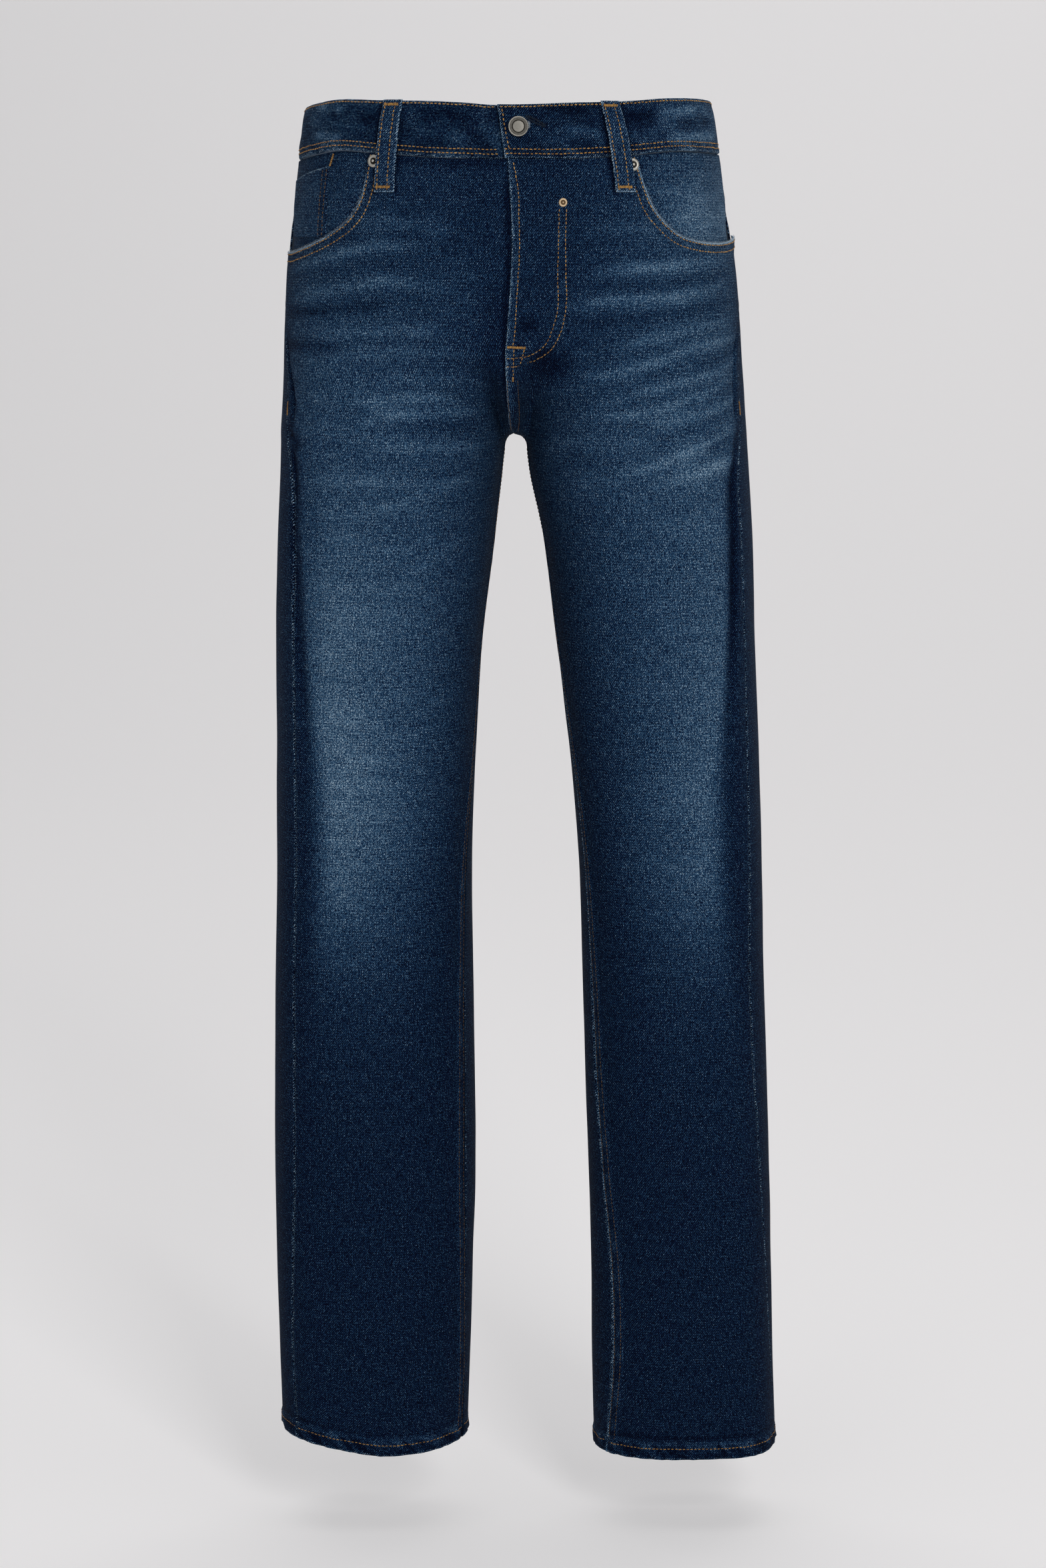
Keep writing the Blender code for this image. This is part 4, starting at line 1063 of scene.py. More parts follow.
def denim_paint(name, look, twill=1.0, paler=0.0):
    """Worn indigo twill: a level of brightness set by the fade and its painted shade, and on it the streaks
    of the warp and weft, specks, ribs, the twill line and slow clouds. All but the twill line show more
    where the dye has gone, and worn edges turn pale in flecks."""
    paint = Paint(name, Roughness=0.92, Specular_IOR_Level=0.04, Sheen_Weight=look.nap,
                  Sheen_Roughness=0.6, Sheen_Tint=(0.35, 0.45, 0.6, 1))
    u, v = paint.place()
    # This attribute carries the fade and also painted shade: below 0 it is darker than unfaded cloth.
    fade, wear = paint.trait("fade"), paint.trait("wear")
    warp = paint.noise(u / 0.68, v / 1.8, 1.0, 0.6)
    slub = paint.noise(u / 1.2 + 40.0, v / 9.0, 1.0, 0.5)
    weft = paint.noise(u / 1.5 + 11.0, v / 0.80 + 3.0, 1.0, 0.6)
    cloud = paint.noise(u / 9.0, v / 13.0, 2.0, 0.55)
    broad = paint.noise(u / 45.0 + 7.0, v / 60.0, 1.0, 0.5)
    speck = paint.noise(u / 0.40 + 5.0, v / 0.66)
    rib = (v * (TURN / 2.05) + warp * 1.5).sine()
    streak = paint.noise(u / 24.0 + 3.0, v / 2.4, 1.0, 0.6)
    line = ((u / look.twill - v / (look.twill * 1.19)) * TURN + warp * 1.2).sine()
    grain = warp * 1.5 + slub * 0.6 + weft * 0.65 + speck * 1.75 + rib * 0.14
    grain = grain + line * ((fade * -0.52 + 0.64) * twill)
    grain = (grain * 0.30 + 1.0) * grain - 0.10
    level = fade * look.faded + look.dark + paler
    level = level + cloud * (fade * 4.5 + 1.5) + broad * (fade * 5.0 + 1.0) + streak * (fade * 12.0 + 0.8)
    tone = level + grain * (fade * 27.0 + 30.0) * look.grain
    fleck = (wear * 1.3 + grain * 0.36 + cloud * 0.4 - 0.40).kept() * wear.step(0.02, 0.25)
    tone = (tone + fleck * 105.0) * (1.0 / BRIGHTEST)
    colour = paint.ramp(tone.kept(), [(b / BRIGHTEST, tuple(look.gain * c for c in dye))
                                      for b, dye in DYE])
    height = warp * 0.5 + weft * 0.45 + line * (0.55 * twill) + cloud * 0.6
    rough = (fade * 0.04 + grain * 0.03 + 0.86).kept()
    return paint.feed(Base_Color=colour, Roughness=rough,
                      Normal=paint.bump(height, look.bump * MM))


def reverse_paint(name, look):
    """The inside of the cloth, where the undyed weft lies on top: pale grey-blue, with the
    warp's dark specks in slanting lines."""
    paint = Paint(name, Roughness=0.95, Specular_IOR_Level=0.2)
    u, v = paint.place()
    weft = paint.noise(u / 2.2, v / 0.5, 1.0, 0.6)
    warp = paint.noise(u / 0.5, v / 2.2, 1.0, 0.6)
    line = ((u / look.twill + v / (look.twill * 1.19)) * TURN).sine()
    share = (weft * 0.35 + warp * 0.3 + line * 0.22 + 0.42).kept()
    colour = paint.mix(share, (0.045, 0.075, 0.13), (0.26, 0.31, 0.37))
    return paint.feed(Base_Color=colour, Normal=paint.bump(line * 0.5 + weft * 0.5, 0.15 * MM))


def cotton_paint(name):
    """Plain-woven unbleached cotton: two crossed sets of fine threads, with brown husk flecks."""
    paint = Paint(name, Roughness=0.95, Specular_IOR_Level=0.2, Sheen_Weight=0.1)
    u, v = paint.place()
    threads = (u * (TURN / 0.6)).sine() * 0.5 + (v * (TURN / 0.6)).sine() * 0.5
    slub = paint.noise(u / 0.7, v / 9.0, 1.0) + paint.noise(u / 9.0, v / 0.7, 1.0)
    husk = paint.noise(u / 0.8, v / 0.8).step(0.62, 0.75)
    pale = paint.mix((slub * 0.3 + threads * 0.12 + 0.5).kept(), (0.56, 0.52, 0.44), (0.80, 0.77, 0.70))
    colour = paint.mix(husk, pale, (0.30, 0.22, 0.13))
    return paint.feed(Base_Color=colour, Normal=paint.bump(threads * 0.4 + slub * 0.5, 0.12 * MM))


def tape_paint(name):
    """Woven zip tape: a fine herringbone in dark thread."""
    paint = Paint(name, Roughness=0.8, Specular_IOR_Level=0.3)
    u, v = paint.place()
    side = (u * (TURN / 5.0)).sine().step(-0.2, 0.2) * 2.0 - 1.0
    line = ((v / 0.9 + u * side / 1.1) * TURN).sine()
    share = (line * 0.3 + paint.noise(u, v) * 0.3 + 0.5).kept()
    colour = paint.mix(share, (.012, .016, .03), (.05, .06, .09))
    return paint.feed(Base_Color=colour, Normal=paint.bump(line, 0.1 * MM))


def thread_paint(name, bright, dark):
    """Twisted sewing thread: each stitch has its own tone, and fine plies run round it."""
    paint = Paint(name, Roughness=0.6, Specular_IOR_Level=0.2)
    u, v = paint.place()
    ply = ((u + v * 2.2) * TURN).sine()
    share = (paint.trait("tone") * 0.9 + ply * 0.22 + 0.02).kept()
    return paint.feed(Base_Color=paint.mix(share, dark, bright),
                      Normal=paint.bump(ply, 0.06 * MM))


def metal_paint(name, bright, tarnished, roughness):
    """Worn plated metal: bright where it is rubbed, dark and duller in its hollows."""
    paint = Paint(name, Metallic=1.0, Roughness=roughness)
    spot = paint.node("ShaderNodeTexCoord", {}, output=3)
    speck = paint.node("ShaderNodeTexNoise", {}, spot, None, 900.0, 3.0, 0.6)
    brushed = paint.node("ShaderNodeTexNoise", {}, spot, None, 3500.0, 2.0, 0.6)
    share = (paint.trait("worn") + speck * 0.5 - 0.25).kept()
    return paint.feed(Base_Color=paint.mix(share, tarnished, bright),
                      Roughness=(speck * 0.25 + roughness + 0.22 - share * 0.2).kept(),
                      Normal=paint.bump(brushed, 0.02 * MM, 0.6))


# ---- pieces of cloth
def scoop_line(scoop, sign):
    """The front's top edge as turns and heights 0.3 mm apart: the waist seam, then the scoop."""
    lead = np.linspace(SEAM, scoop[0].girth - 0.01, 120)
    turn, height = traced(scoop, np.linspace(0, len(scoop) - 1, 500))
    turn = np.concatenate([lead, turn])
    height = np.concatenate([band_seam(sign * lead) - SEAM_GAP, height])
    height = np.minimum(height, band_seam(sign * turn) - SEAM_GAP)
    turn[-1] = 1.0
    return np.minimum(turn, 1.0), height


def spread_along(turn, height, spacing):
    """The same line at even steps of its length, and how steeply it falls as a cosine."""
    length = np.concatenate([[0], np.cumsum(np.hypot(np.diff(turn) * GIRTH_MM, np.diff(height)))])
    places = evenly(length[-1], spacing)
    turn, height = np.interp(places, length, turn), np.interp(places, length, height)
    slope = np.gradient(height, places)
    return turn, height, np.sqrt(np.clip(1 - slope ** 2, 0.02, 1))


def panel_rows(top, level_from, spacings, foot):
    """Heights of a panel's grid: rows squeezed in under its top edge down to level_from, then
    level rows at the spacings given as (foot, spacing), then close ones at the hem."""
    share = np.concatenate([[0, 0.004, 0.010, 0.020, 0.035], np.linspace(0.06, 1, 32)])
    upper = top[None, :] + (level_from - top[None, :]) * share[:, None]
    rows, start = [], level_from
    for end, spacing in spacings:
        count = max(1, int(round((start - end) / spacing)))
        rows.extend(start + (end - start) * np.arange(1, count + 1) / count)
        start = end
    rows.extend([foot + 0.8, foot + 0.35, foot])
    if (len(rows) + len(share)) % 2 == 0:
        rows.insert(-3, (rows[-4] + rows[-3]) / 2)
    level = np.array(rows)[:, None] * np.ones_like(top)[None, :]
    return np.vstack([upper, level])


FRONT_SPACINGS = ((-300.0, 2.5), (-1024.0, 3.8), (-1045.5, 1.2))
BACK_SPACINGS = ((-262.0, 3.4), (-1030.0, 4.6), (-1045.5, 1.4))


def front_grid(sign, scoop):
    """Grids of girth and height of a front. Its centre edge follows the fly's edge and the rise
    strip (left) or passes beneath them (right), and its side edge the side seam."""
    turn, top, steep = spread_along(*scoop_line(scoop, sign), 1.25)
    height = panel_rows(top, -110.0, FRONT_SPACINGS, HEM)
    turn = turn[None, :] * np.ones_like(height)
    edge = straight(FLY_EDGE, "girth", height) if sign > 0 else -straight(FLY_TUCK, "girth", height)
    turn = turn + (edge - SEAM) * (1 - ease(0, 0.25, turn))
    side = side_turn(np.full(height.shape, float(sign)), height) - SEAM
    turn = turn * (1 - (1 - side) * ease(0.45, 1, turn))
    return sign * turn[:, ::sign], height[:, ::sign], steep[::sign]


def worn_edges(top=0.0, foot=0.0, front=0.0, back=0.0, sign=1, width=2.2, mask=None):
    """How worn a piece is near each edge: full at the edge and gone at width; mask is the top
    edge's own share along it."""
    def wear(from_top, from_foot, from_left, from_right):
        first, last = (from_left, from_right) if sign > 0 else (from_right, from_left)
        crown = top if mask is None else top * mask
        total = crown * ease(width, 0.2, from_top) + foot * ease(width, 0.2, from_foot)
        return total + front * ease(width, 0.2, first) + back * ease(width, 0.2, last)
    return wear


def make_front(front):
    """One front of the trousers. Besides the fading it is pale on the lap of the fly and on the
    felled inseam, and darkened by painted shadow beside the fly's lap and under the waistband."""
    girth, height, steep = front_grid(front.sign, front.scoop)
    left = front.sign > 0
    at_top = np.abs(girth[:1])
    on_scoop = 0.98 if left else 0.72
    on_scoop = on_scoop + (1.35 - on_scoop) * ease(0.60, 0.76, at_top)
    on_scoop = on_scoop * (at_top > front.scoop[0].girth + 0.004)
    above_fork = ease(FORK, FORK + 10, height)
    if left:
        from_edge = (girth - straight(FLY_EDGE, "girth", height)) * GIRTH_MM
        lap_wear_and_shadow = 0.20 * ease(8, 4, from_edge) * above_fork
        into_rows = (column(FLY_CURVE, "girth", height) - girth) * GIRTH_MM
        between_rows = ease(-1.0, 0.5, into_rows) * ease(7.5, 6.0, into_rows) * above_fork
        lap_wear_and_shadow = lap_wear_and_shadow + (0.06 + 0.30 * soft_noise(25, height / 3.8, into_rows / 6)) * between_rows \
            * ease(-60, -66, height) * ease(-185, -176, height)
    else:
        # Painted shadow of the fly's lap on the right front, beside its edge.
        lap_wear_and_shadow = -0.45 * np.exp(-((girth + 0.010) / 0.014) ** 2) * above_fork * ease(-28, -60, height)
    from_inseam = np.abs(girth) * reach(girth, height)
    felled = 0.08 + 0.26 * soft_noise(23, height / 4.5, from_inseam / 7)
    felled = felled * ease(11, 8, from_inseam)
    felled = (felled + 0.14 * np.exp(-((from_inseam - 10.0) / 1.3) ** 2)) * (1 - above_fork)
    # Painted shadow under the waistband.
    band_shadow = ease(10, 4, band_seam(girth) - height) * (0.05 if left else 0.22)
    fade = faded(girth, height) + lap_wear_and_shadow + felled + hem_shade(girth, height) - band_shadow
    wear = worn_edges(1.1, 0.45, 0.66 if left else 0.0, 0.42, front.sign, 2.5, on_scoop)
    cloth_shell("front_" + front.side, "denim", girth, height, front.lift(girth, height),
                denim_wall(height), front.sign * 0.5, fade, wear, steep)


def denim_wall(height):
    """One layer of denim, and two more in the turned-up hem."""
    return DENIM + DENIM * ease(HEM + HEM_TURN + 1.5, HEM + HEM_TURN - 0.5, height)


def make_back(side, sign):
    """One back, from the yoke's seam to the hem."""
    turn = 1 + SEAM + (1 - 2 * SEAM) * (evenly(GIRTH_MM, 1.55) / GIRTH_MM)
    height = panel_rows(yoke_seam(turn) - SEAM_GAP, -120.0, BACK_SPACINGS, HEM)
    start = side_turn(np.full(height.shape, float(sign)), height) + SEAM
    turn = turn - (1 - start) * (1 - ease(0, 0.5, turn - 1))
    girth = sign * turn
    panel("back_" + side, "denim", sign, turn, height, back_lift, denim_wall(height), 1.5,
          faded(girth, height) + hem_shade(girth, height), wear=worn_edges(0.15, 0.45, 0.30, 0.3, sign))


def make_yoke(side, sign):
    """The yoke between the waistband and the back. Its lower edge lies over the back's."""
    turn = (1 + SEAM + (1 - 2 * SEAM) * (evenly(GIRTH_MM, 1.8) / GIRTH_MM))[None, :]
    top = band_seam(sign * turn) - SEAM_GAP
    height = top + (yoke_seam(turn) + SEAM_GAP - top) * along_side(60.0, 2.0)
    panel("yoke_" + side, "denim", sign, turn, height, on_yoke, DENIM, 1.5,
          wear=worn_edges(0.0, 0.4, 0.2, 0.2, sign, 1.8))


def on_yoke(girth, height):
    """Outside of the yokes, which lie a little over the backs."""
    return back_lift(girth, height) + 0.5


def along_side(length, spacing):
    """Shares from 0 to 1 down a grid's side."""
    return evenly(length, spacing)[:, None] / length


def make_facing(front):
    """The denim behind a front pocket's opening, worn pale where the hand rubs it, in streaks."""
    sign = front.sign
    turn = spread_between(front.scoop[0].girth - 0.05, 1 - SEAM, GIRTH_MM, 1.4)
    top = band_seam(sign * turn) - SEAM_GAP
    height = top + (-110.0 - top) * along_side(85.0, 1.9)
    turn = turn * np.ones_like(height)
    if sign > 0:
        across = (0.55 + 0.45 * ease(0.50, 0.72, turn)) * (1 - 0.25 * ease(0.88, 1.0, turn))
        fade = 1.16 * across * (0.66 + 0.34 * ease(-28, -66, height))
    else:
        fade = 0.37 * (0.75 + 0.25 * ease(-30, -62, height))
    streaks = (0.17 if sign > 0 else 0.11) * soft_noise(56, turn * 10, height / 2.4)
    fade = fade + 0.10 * soft_noise(55, turn * 14, height / 16) + streaks * ease(-22, -32, height)
    panel("pocket_facing_" + front.side, "denim", sign, turn, height, facing_lift, FACING_WALL, 0.75, fade)


def spread_between(start, end, scale, spacing):
    """One row of places from start to end, closer at both ends; scale is millimetres for one."""
    length = (end - start) * scale
    return (start + (end - start) * evenly(length, spacing) / length)[None, :]


def make_coin_pocket():
    """The small pocket on the right facing; its mouth dips towards the side."""
    turn = spread_between(COIN_INSIDE, 0.93, GIRTH_MM, 1.1)
    mouth = -32.0 - 40.0 * (turn - COIN_INSIDE)
    height = mouth + (-85.0 - mouth) * along_side(50.0, 1.4)
    turn = turn * np.ones_like(height)
    fade = 0.44 + 0.15 * soft_noise(57, turn * 16, height / 12)
    fade = fade + 0.10 * soft_noise(58, turn * 9, height / 2.6)
    # Painted shadow along the pocket's inner edge.
    fade = fade - 0.26 * ease(7.5, 5.5, (turn - COIN_INSIDE) * GIRTH_MM)
    panel("coin_pocket", "denim", -1, turn, height, coin_lift, COIN_WALL, 0.8, fade,
          wear=worn_edges(0.95, 0, 0, 0.2, -1, 1.6))


Sides = namedtuple("Sides", "height start end")
BAG_SIDES = rows_of(
    Sides, (-22, 0.40, 0.96), (-120, 0.36, 0.953), (-175, 0.42, 0.95), (-212, 0.46, 0.80))
SHIELD_SIDES = rows_of(Sides, (-22, -0.09, 0.215), (-150, -0.09, 0.20), (-182, -0.09, 0.10))
ZIP_SIDES = rows_of(Sides, (-22, 0.015, 0.15), (-182, 0.015, 0.15))
HIDDEN_TOP = -29.0


def between_sides(sides, foot, spacing=3.0):
    """Grids of girth and height of a hidden piece between its two upright edges."""
    height = spread_between(-HIDDEN_TOP, -foot, 1.0, spacing).T * -1
    start, end = straight(sides, "start", height), straight(sides, "end", height)
    length = float(np.abs(end - start).max()) * GIRTH_MM
    share = evenly(length, spacing)[None, :] / length
    return start + (end - start) * share, height * np.ones_like(share)


def make_bag(side, sign):
    """A front pocket's cotton bag, against the inside of the front."""
    turn, height = between_sides(BAG_SIDES, -213.0)
    lift = FACING_LIFT - FACING_WALL - 2.0 + soft_noise(81, turn * 7, height / 40) * 0.5
    panel("pocket_bag_" + side, "pocket_cotton", sign, turn, height, lift, BAG_WALL, 0.65,
          look=COTTON_LOOK)


def make_fly_parts():
    """The fly shield and the closed zip, behind the doubled fly."""
    turn, height = between_sides(SHIELD_SIDES, -178.0, 2.2)
    lift = -(DENIM + 1.9 + ZIP_WALL) - 0.3 + soft_noise(83, turn * 8, height / 40) * 0.2
    panel("fly_shield", "denim", 1, turn, height, lift, DENIM, 0.06)
    turn, height = between_sides(ZIP_SIDES, -155.0, 1.5)
    teeth = 0.35 * ease(0.022, 0.016, np.abs(turn - 0.0825)) \
        * (0.5 + 0.5 * np.sin(height * TURN / 3.0))
    panel("zip", "zip_cloth", 1, turn, height, -(DENIM + 1.3) + teeth, ZIP_WALL, 0.08,
          look=TAPE_LOOK)


def make_back_pocket(side, sign):
    """A plain back pocket, sewn round with two rows: its sides close in, and its foot comes to a
    blunt point."""
    across = (evenly(108.0, 1.6) / 54.0 - 1)[None, :]
    top = POCKET_TOP + POCKET_TILT * across
    foot = POCKET_CORNER - POCKET_POINT * (1 - np.abs(across))
    height = top + (foot - top) * along_side(130.0, 1.7)
    turn = on_pocket(sign, across, height)
    middle, half = pocket_middle(sign, height)
    fade = 0.50 - 0.25 * (np.abs(turn - middle) / half) ** 2 + 0.12 * soft_noise(65, turn * 12, height / 20)
    panel("back_pocket_" + side, "denim", sign, turn, height, back_pocket_lift, DENIM, 1.5, fade,
          wear=worn_edges(0.7, 0.75, 0.75, 0.75, sign))


def make_waistband():
    """One folded strip, once round the waist and on behind its buttonhole end."""
    run = (evenly(UNDERLAP_END * BAND_MM, 1.55) / BAND_MM)[None, :]
    share = along_side(40.0, 1.6)
    start = run + (BAND_START + BAND_SLANT * share) * np.clip(1 - run / 0.1, 0, 1)
    girth = np.where(start > 2, start - 4, start)
    height = band_top(girth) + (band_seam(girth) - band_top(girth)) * share
    total = around(np.full(height.shape, 2.0), height) - around(np.full(height.shape, -2.0), height)
    across = around(girth, height) + np.where(start > 2, total, 0)
    turn, left = np.abs(girth), girth > 0
    ridge = band_puckers(around(girth, height), band_top(girth) - height, height - band_seam(girth))
    outwards = ease(0.47, 0.66, turn) * ease(1.15, 0.95, turn)
    scuffs = soft_noise(74, across / 9, height / 2.6) + 0.7 * soft_noise(75, across / 3.4, height / 1.7)
    # The puckers' relief is painted into the colour: paler on their ridges, which wear, and darker in their
    # hollows, below the unfaded dye, as painted shade.
    fade = (0.01 - 0.06 * left + (0.29 + 0.19 * left) * outwards + 0.50 * ridge
            + (0.13 + 0.10 * outwards) * scuffs)
    cloth_shell("waistband", "denim_band", girth, height, band_lift(girth, height, start), BAND_WALL,
                0.0, np.clip(fade, -0.2, 1), worn_edges(0.45, 0.46, 0.78, 0.2, 1, 1.5),
                look=BAND_LOOK, across=across, held="folded")


Bend = namedtuple("Bend", "share rise")
LOOP_BENDS = rows_of(
    Bend, (0.0, 0.0), (0.08, 0.2), (0.16, 1.9), (0.28, 3.0), (0.5, 3.3), (0.72, 3.0), (0.84, 1.9),
    (0.92, 0.2), (1.0, 0.0))
LOOP_FOOT = -52.0
LOOP_WIDTH = 14.0
LOOP_WALL = 1.6
LOOP_OVER_TOP = 0.4
LOOP_ROWS = (-4.9, 2.2)  # its two stitched rows, from its middle
Loop = namedtuple("Loop", "name top foot")
LOOPS = rows_of(
    Loop, ("belt_loop_front_right", -0.451, -0.470), ("belt_loop_front_left", 0.401, 0.434),
    ("belt_loop_back_right", -1.36, -1.36), ("belt_loop_back_left", 1.36, 1.36),
    ("belt_loop_back_centre", 2.0, 2.0))


def loop_place(loop, share, across):
    """Girth and height of a place on a belt loop: share of its length, and millimetres from its
    middle line."""
    top = band_top(loop.top) + LOOP_OVER_TOP
    height = top + (LOOP_FOOT - top) * share
    middle = loop.top + (loop.foot - loop.top) * share
    return middle + across / BAND_MM, height + 0 * across


def loop_lift(loop, share, across):
    """Outside of a loop: it lies on the waistband and the panel at its two ends and stands off
    them between, with a groove along each stitched row and soft puckers."""
    girth, height = loop_place(loop, share, across)
    seam = band_seam(girth)
    on_band = ease(seam - 5, seam + 1, height)
    panel_lift = on_yoke if abs(loop.top) > 1 else FRONTS[int(loop.top > 0)].lift
    seat = (band_lift(girth, np.minimum(height, band_top(girth))) * on_band
            + panel_lift(girth, height) * (1 - on_band)) + 0.35
    rise = column(LOOP_BENDS, "rise", share)
    groove = sum(-0.28 * np.exp(-((across - row) / 0.9) ** 2) for row in LOOP_ROWS)
    ends = 0.5 * ease(0.10, 0.06, share) + 0.7 * ease(0.86, 0.91, share)
    ripple = soft_noise(90 + name_number(loop.name) % 7, across / 5 + 3, share * 15) * 0.22
    return seat + rise + LOOP_WALL + groove + ends + ripple


def make_loop(loop):
    """One belt loop."""
    across = (evenly(LOOP_WIDTH, 0.85) - LOOP_WIDTH / 2)[None, :]
    share = along_side(66.0, 1.15)
    girth, height = loop_place(loop, share, across)
    across = across + 0 * share
    # A loop takes no painted loop shadow on itself.
    cloth_shell(loop.name, "denim_band", girth, height, loop_lift(loop, share, across), LOOP_WALL,
                wrap(loop.top), 0.30 + 0.06 * ease(4, 7, np.abs(across)),
                worn_edges(0.4, 0.9, 0.66, 0.58, 1, 1.5), look=BAND_LOOK, across=across + 40,
                loop_shadowed=False, held="folded")


# ---- stitches
PITCH = 3.07  # from one stitch to the next
STITCH_LENGTH = 0.76 * PITCH
TACK_PITCH = 0.42
TACK_RADIUS = 0.30
HEM_ROW = -1037.9  # height of the row round each hem
RINGS = 4  # rings of points along a stitch or a fibre


def smooth_line(places, count=240):
    """A dense smooth line through (girth, height) places."""
    places = np.asarray(places, float)
    t = np.append(0, np.cumsum(np.hypot(np.diff(places[:, 0]) * GIRTH_MM, np.diff(places[:, 1]))))
    at = np.linspace(0, t[-1], count)
    if len(places) == 2:
        return np.stack([np.interp(at, t, places[:, k]) for k in (0, 1)], -1)
    return np.stack([read_table(t, places[:, k], at) for k in (0, 1)], -1)


def beside(line, offset):
    """The line moved sideways, to the left of its direction on the flat cloth, in millimetres."""
    x, y = line[:, 0] * GIRTH_MM, line[:, 1]
    dx, dy = np.gradient(x), np.gradient(y)
    size = np.hypot(dx, dy) + 1e-9
    return np.stack([(x - dy / size * offset) / GIRTH_MM, y + dx / size * offset], -1)


def stitch_places(line, lift, pitch):
    """Middles, directions and normals of the stitches along a line of girths and heights."""
    girth, height = line[:, 0], line[:, 1]
    normal = outward(girth, height)
    points = skin(girth, height) + normal * lift(girth, height)[:, None]
    length = np.append(0, np.cumsum(np.linalg.norm(np.diff(points, axis=0), axis=1)))
    count = max(1, int(length[-1] / pitch))
    at = (np.arange(count) + 0.5) * length[-1] / count

    def read(values, where):
        return np.stack([np.interp(where, length, values[:, k]) for k in range(3)], -1)

    middle, facing = read(points, at), read(normal, at)
    direction = read(points, at + 0.4) - read(points, at - 0.4)
    direction /= np.linalg.norm(direction, axis=1)[:, None]
    facing /= np.linalg.norm(facing, axis=1)[:, None]
    return middle, direction, facing


def tube_faces(count, sides):
    """Side faces and end caps of so many threads, whose rings follow each other."""
    index = np.arange(count * RINGS * sides).reshape(count, RINGS, sides)
    following = np.roll(index, -1, axis=2)
    quads = np.stack([index[:, :-1], following[:, :-1], following[:, 1:], index[:, 1:]], -1)
    return quads.reshape(-1, 4), np.concatenate([index[:, 0, ::-1], index[:, -1]])


def put_threads(name, parts, paint):
    """One piece from parts given as (points, side faces, end caps, uv, tone)."""
    faces, sizes, start = [], [], 0
    for points, quads, caps, _, _ in parts:
        faces.extend([quads.reshape(-1) + start, caps.reshape(-1) + start])
        sizes.extend([np.full(len(quads), 4), np.full(len(caps), caps.shape[1])])
        start += len(points)
    points, uv, tone = (np.concatenate([part[k] for part in parts]) for k in (0, 3, 4))
    hand_over(put_faces(name, points, np.concatenate(faces), np.concatenate(sizes), [paint], None, uv,
                        {"tone": tone}))


# Each ring's place along the stitch, its width, and its rise, as shares of the length and radius.
STITCH_RINGS = np.array(((-0.5, 0.45, -0.75), (-0.3, 0.95, 0.15), (0.3, 0.95, 0.15), (0.5, 0.45, -0.75)))
STITCH_SIDES = 5


def stitch_mesh(middle, direction, facing, length, radius, seed):
    """Stitches as short threads: four rings of five points each, thin and sunk into the cloth at
    both ends. Each has a little of its own length, place and turn."""
    count = len(middle)
    rng = np.random.default_rng(seed)
    side = np.cross(facing, direction)
    wander = rng.normal(0, 1, (count, 4))
    direction = direction + side * (wander[:, :1] * 0.06)
    middle = middle + side * (wander[:, 1:2] * 0.10) + direction * (wander[:, 2:3] * 0.08)
    length = length * (1 + 0.07 * wander[:, 3])
    place, width, rise = (STITCH_RINGS[None, :, k, None] for k in (0, 1, 2))
    turn = np.arange(STITCH_SIDES) * TURN / STITCH_SIDES
    along = place * length[:, None, None]
    out = radius * (rise + width * np.sin(turn)[None, None, :])
    across = radius * width * np.cos(turn)[None, None, :]
    points = (middle[:, None, None, :] + direction[:, None, None, :] * along[..., None]
              + facing[:, None, None, :] * out[..., None] + side[:, None, None, :] * across[..., None])
    uv = np.stack(np.broadcast_arrays(along, turn[None, None, :] * 0.35), -1).reshape(-1, 2)
    tone = np.repeat(np.clip(rng.normal(0.55, 0.22, count), 0, 1), RINGS * STITCH_SIDES)
    return points.reshape(-1, 3), *tube_faces(count, STITCH_SIDES), uv, tone


class Seamster:
    """Collects rows of stitches of one thread and makes them one piece."""

    def __init__(self, name, paint, seed, radius=0.43):
        self.name, self.paint, self.seed, self.radius = name, paint, seed, radius
        self.parts = []

    def add(self, middle, direction, facing, length, radius):
        """Stitches of one length, with the next seed."""
        self.seed += 1
        self.parts.append(stitch_mesh(middle, direction, facing, length, radius, self.seed))

    def row(self, places, lift):
        """A running row along a dense line, or smoothly through a list of places."""
        line = places if isinstance(places, np.ndarray) else smooth_line(places)
        self.add(*stitch_places(line, lift, PITCH), STITCH_LENGTH, self.radius)

    def tack(self, start, end, lift, width=2.0):
        """A bar tack: close stitches across its line."""
        middle, direction, facing = stitch_places(smooth_line((start, end), 60), lift, TACK_PITCH)
        across = np.cross(facing, direction)
        across = across + direction * (0.22 * (-1.0) ** np.arange(len(middle)))[:, None]
        self.add(middle + facing * 0.22, across, facing, width, TACK_RADIUS)

    def sew(self):
        """Makes the piece."""
        put_threads(self.name, self.parts, self.paint)


def girth_row(start, end, height_of, count=500):
    """A row all along a girth range, its height worked out from the girth."""
    girth = np.linspace(start, end, count)
    return np.stack([girth, height_of(wrap(girth))], -1)


def height_row(start, end, girth_of, count=400):
    """A row down a height range, its girth worked out from the height."""
    height = np.linspace(start, end, count)
    return np.stack([girth_of(height), height], -1)


def band_face(girth, height):
    """The waistband's face, also past the centre back."""
    return band_lift(wrap(girth), height, np.asarray(girth, float))


def sew_waistband():
    """The row under the top edge, the two along the seam and the short one at the end."""
    thread = Seamster("waistband_stitching", "golden thread", 1000)
    for start, end, height_of in ((-0.040, 3.94, lambda g: band_top(g) - 1.9),
                                  (-0.018, 3.955, lambda g: band_seam(g) + 3.3),
                                  (-0.022, 3.95, lambda g: band_seam(g) + 6.6)):
        thread.row(girth_row(start, end, height_of, 900), band_face)
    thread.row(((-0.030, 9.5), (-0.012, -10), (0.000, -20.5)), band_face)
    thread.sew()


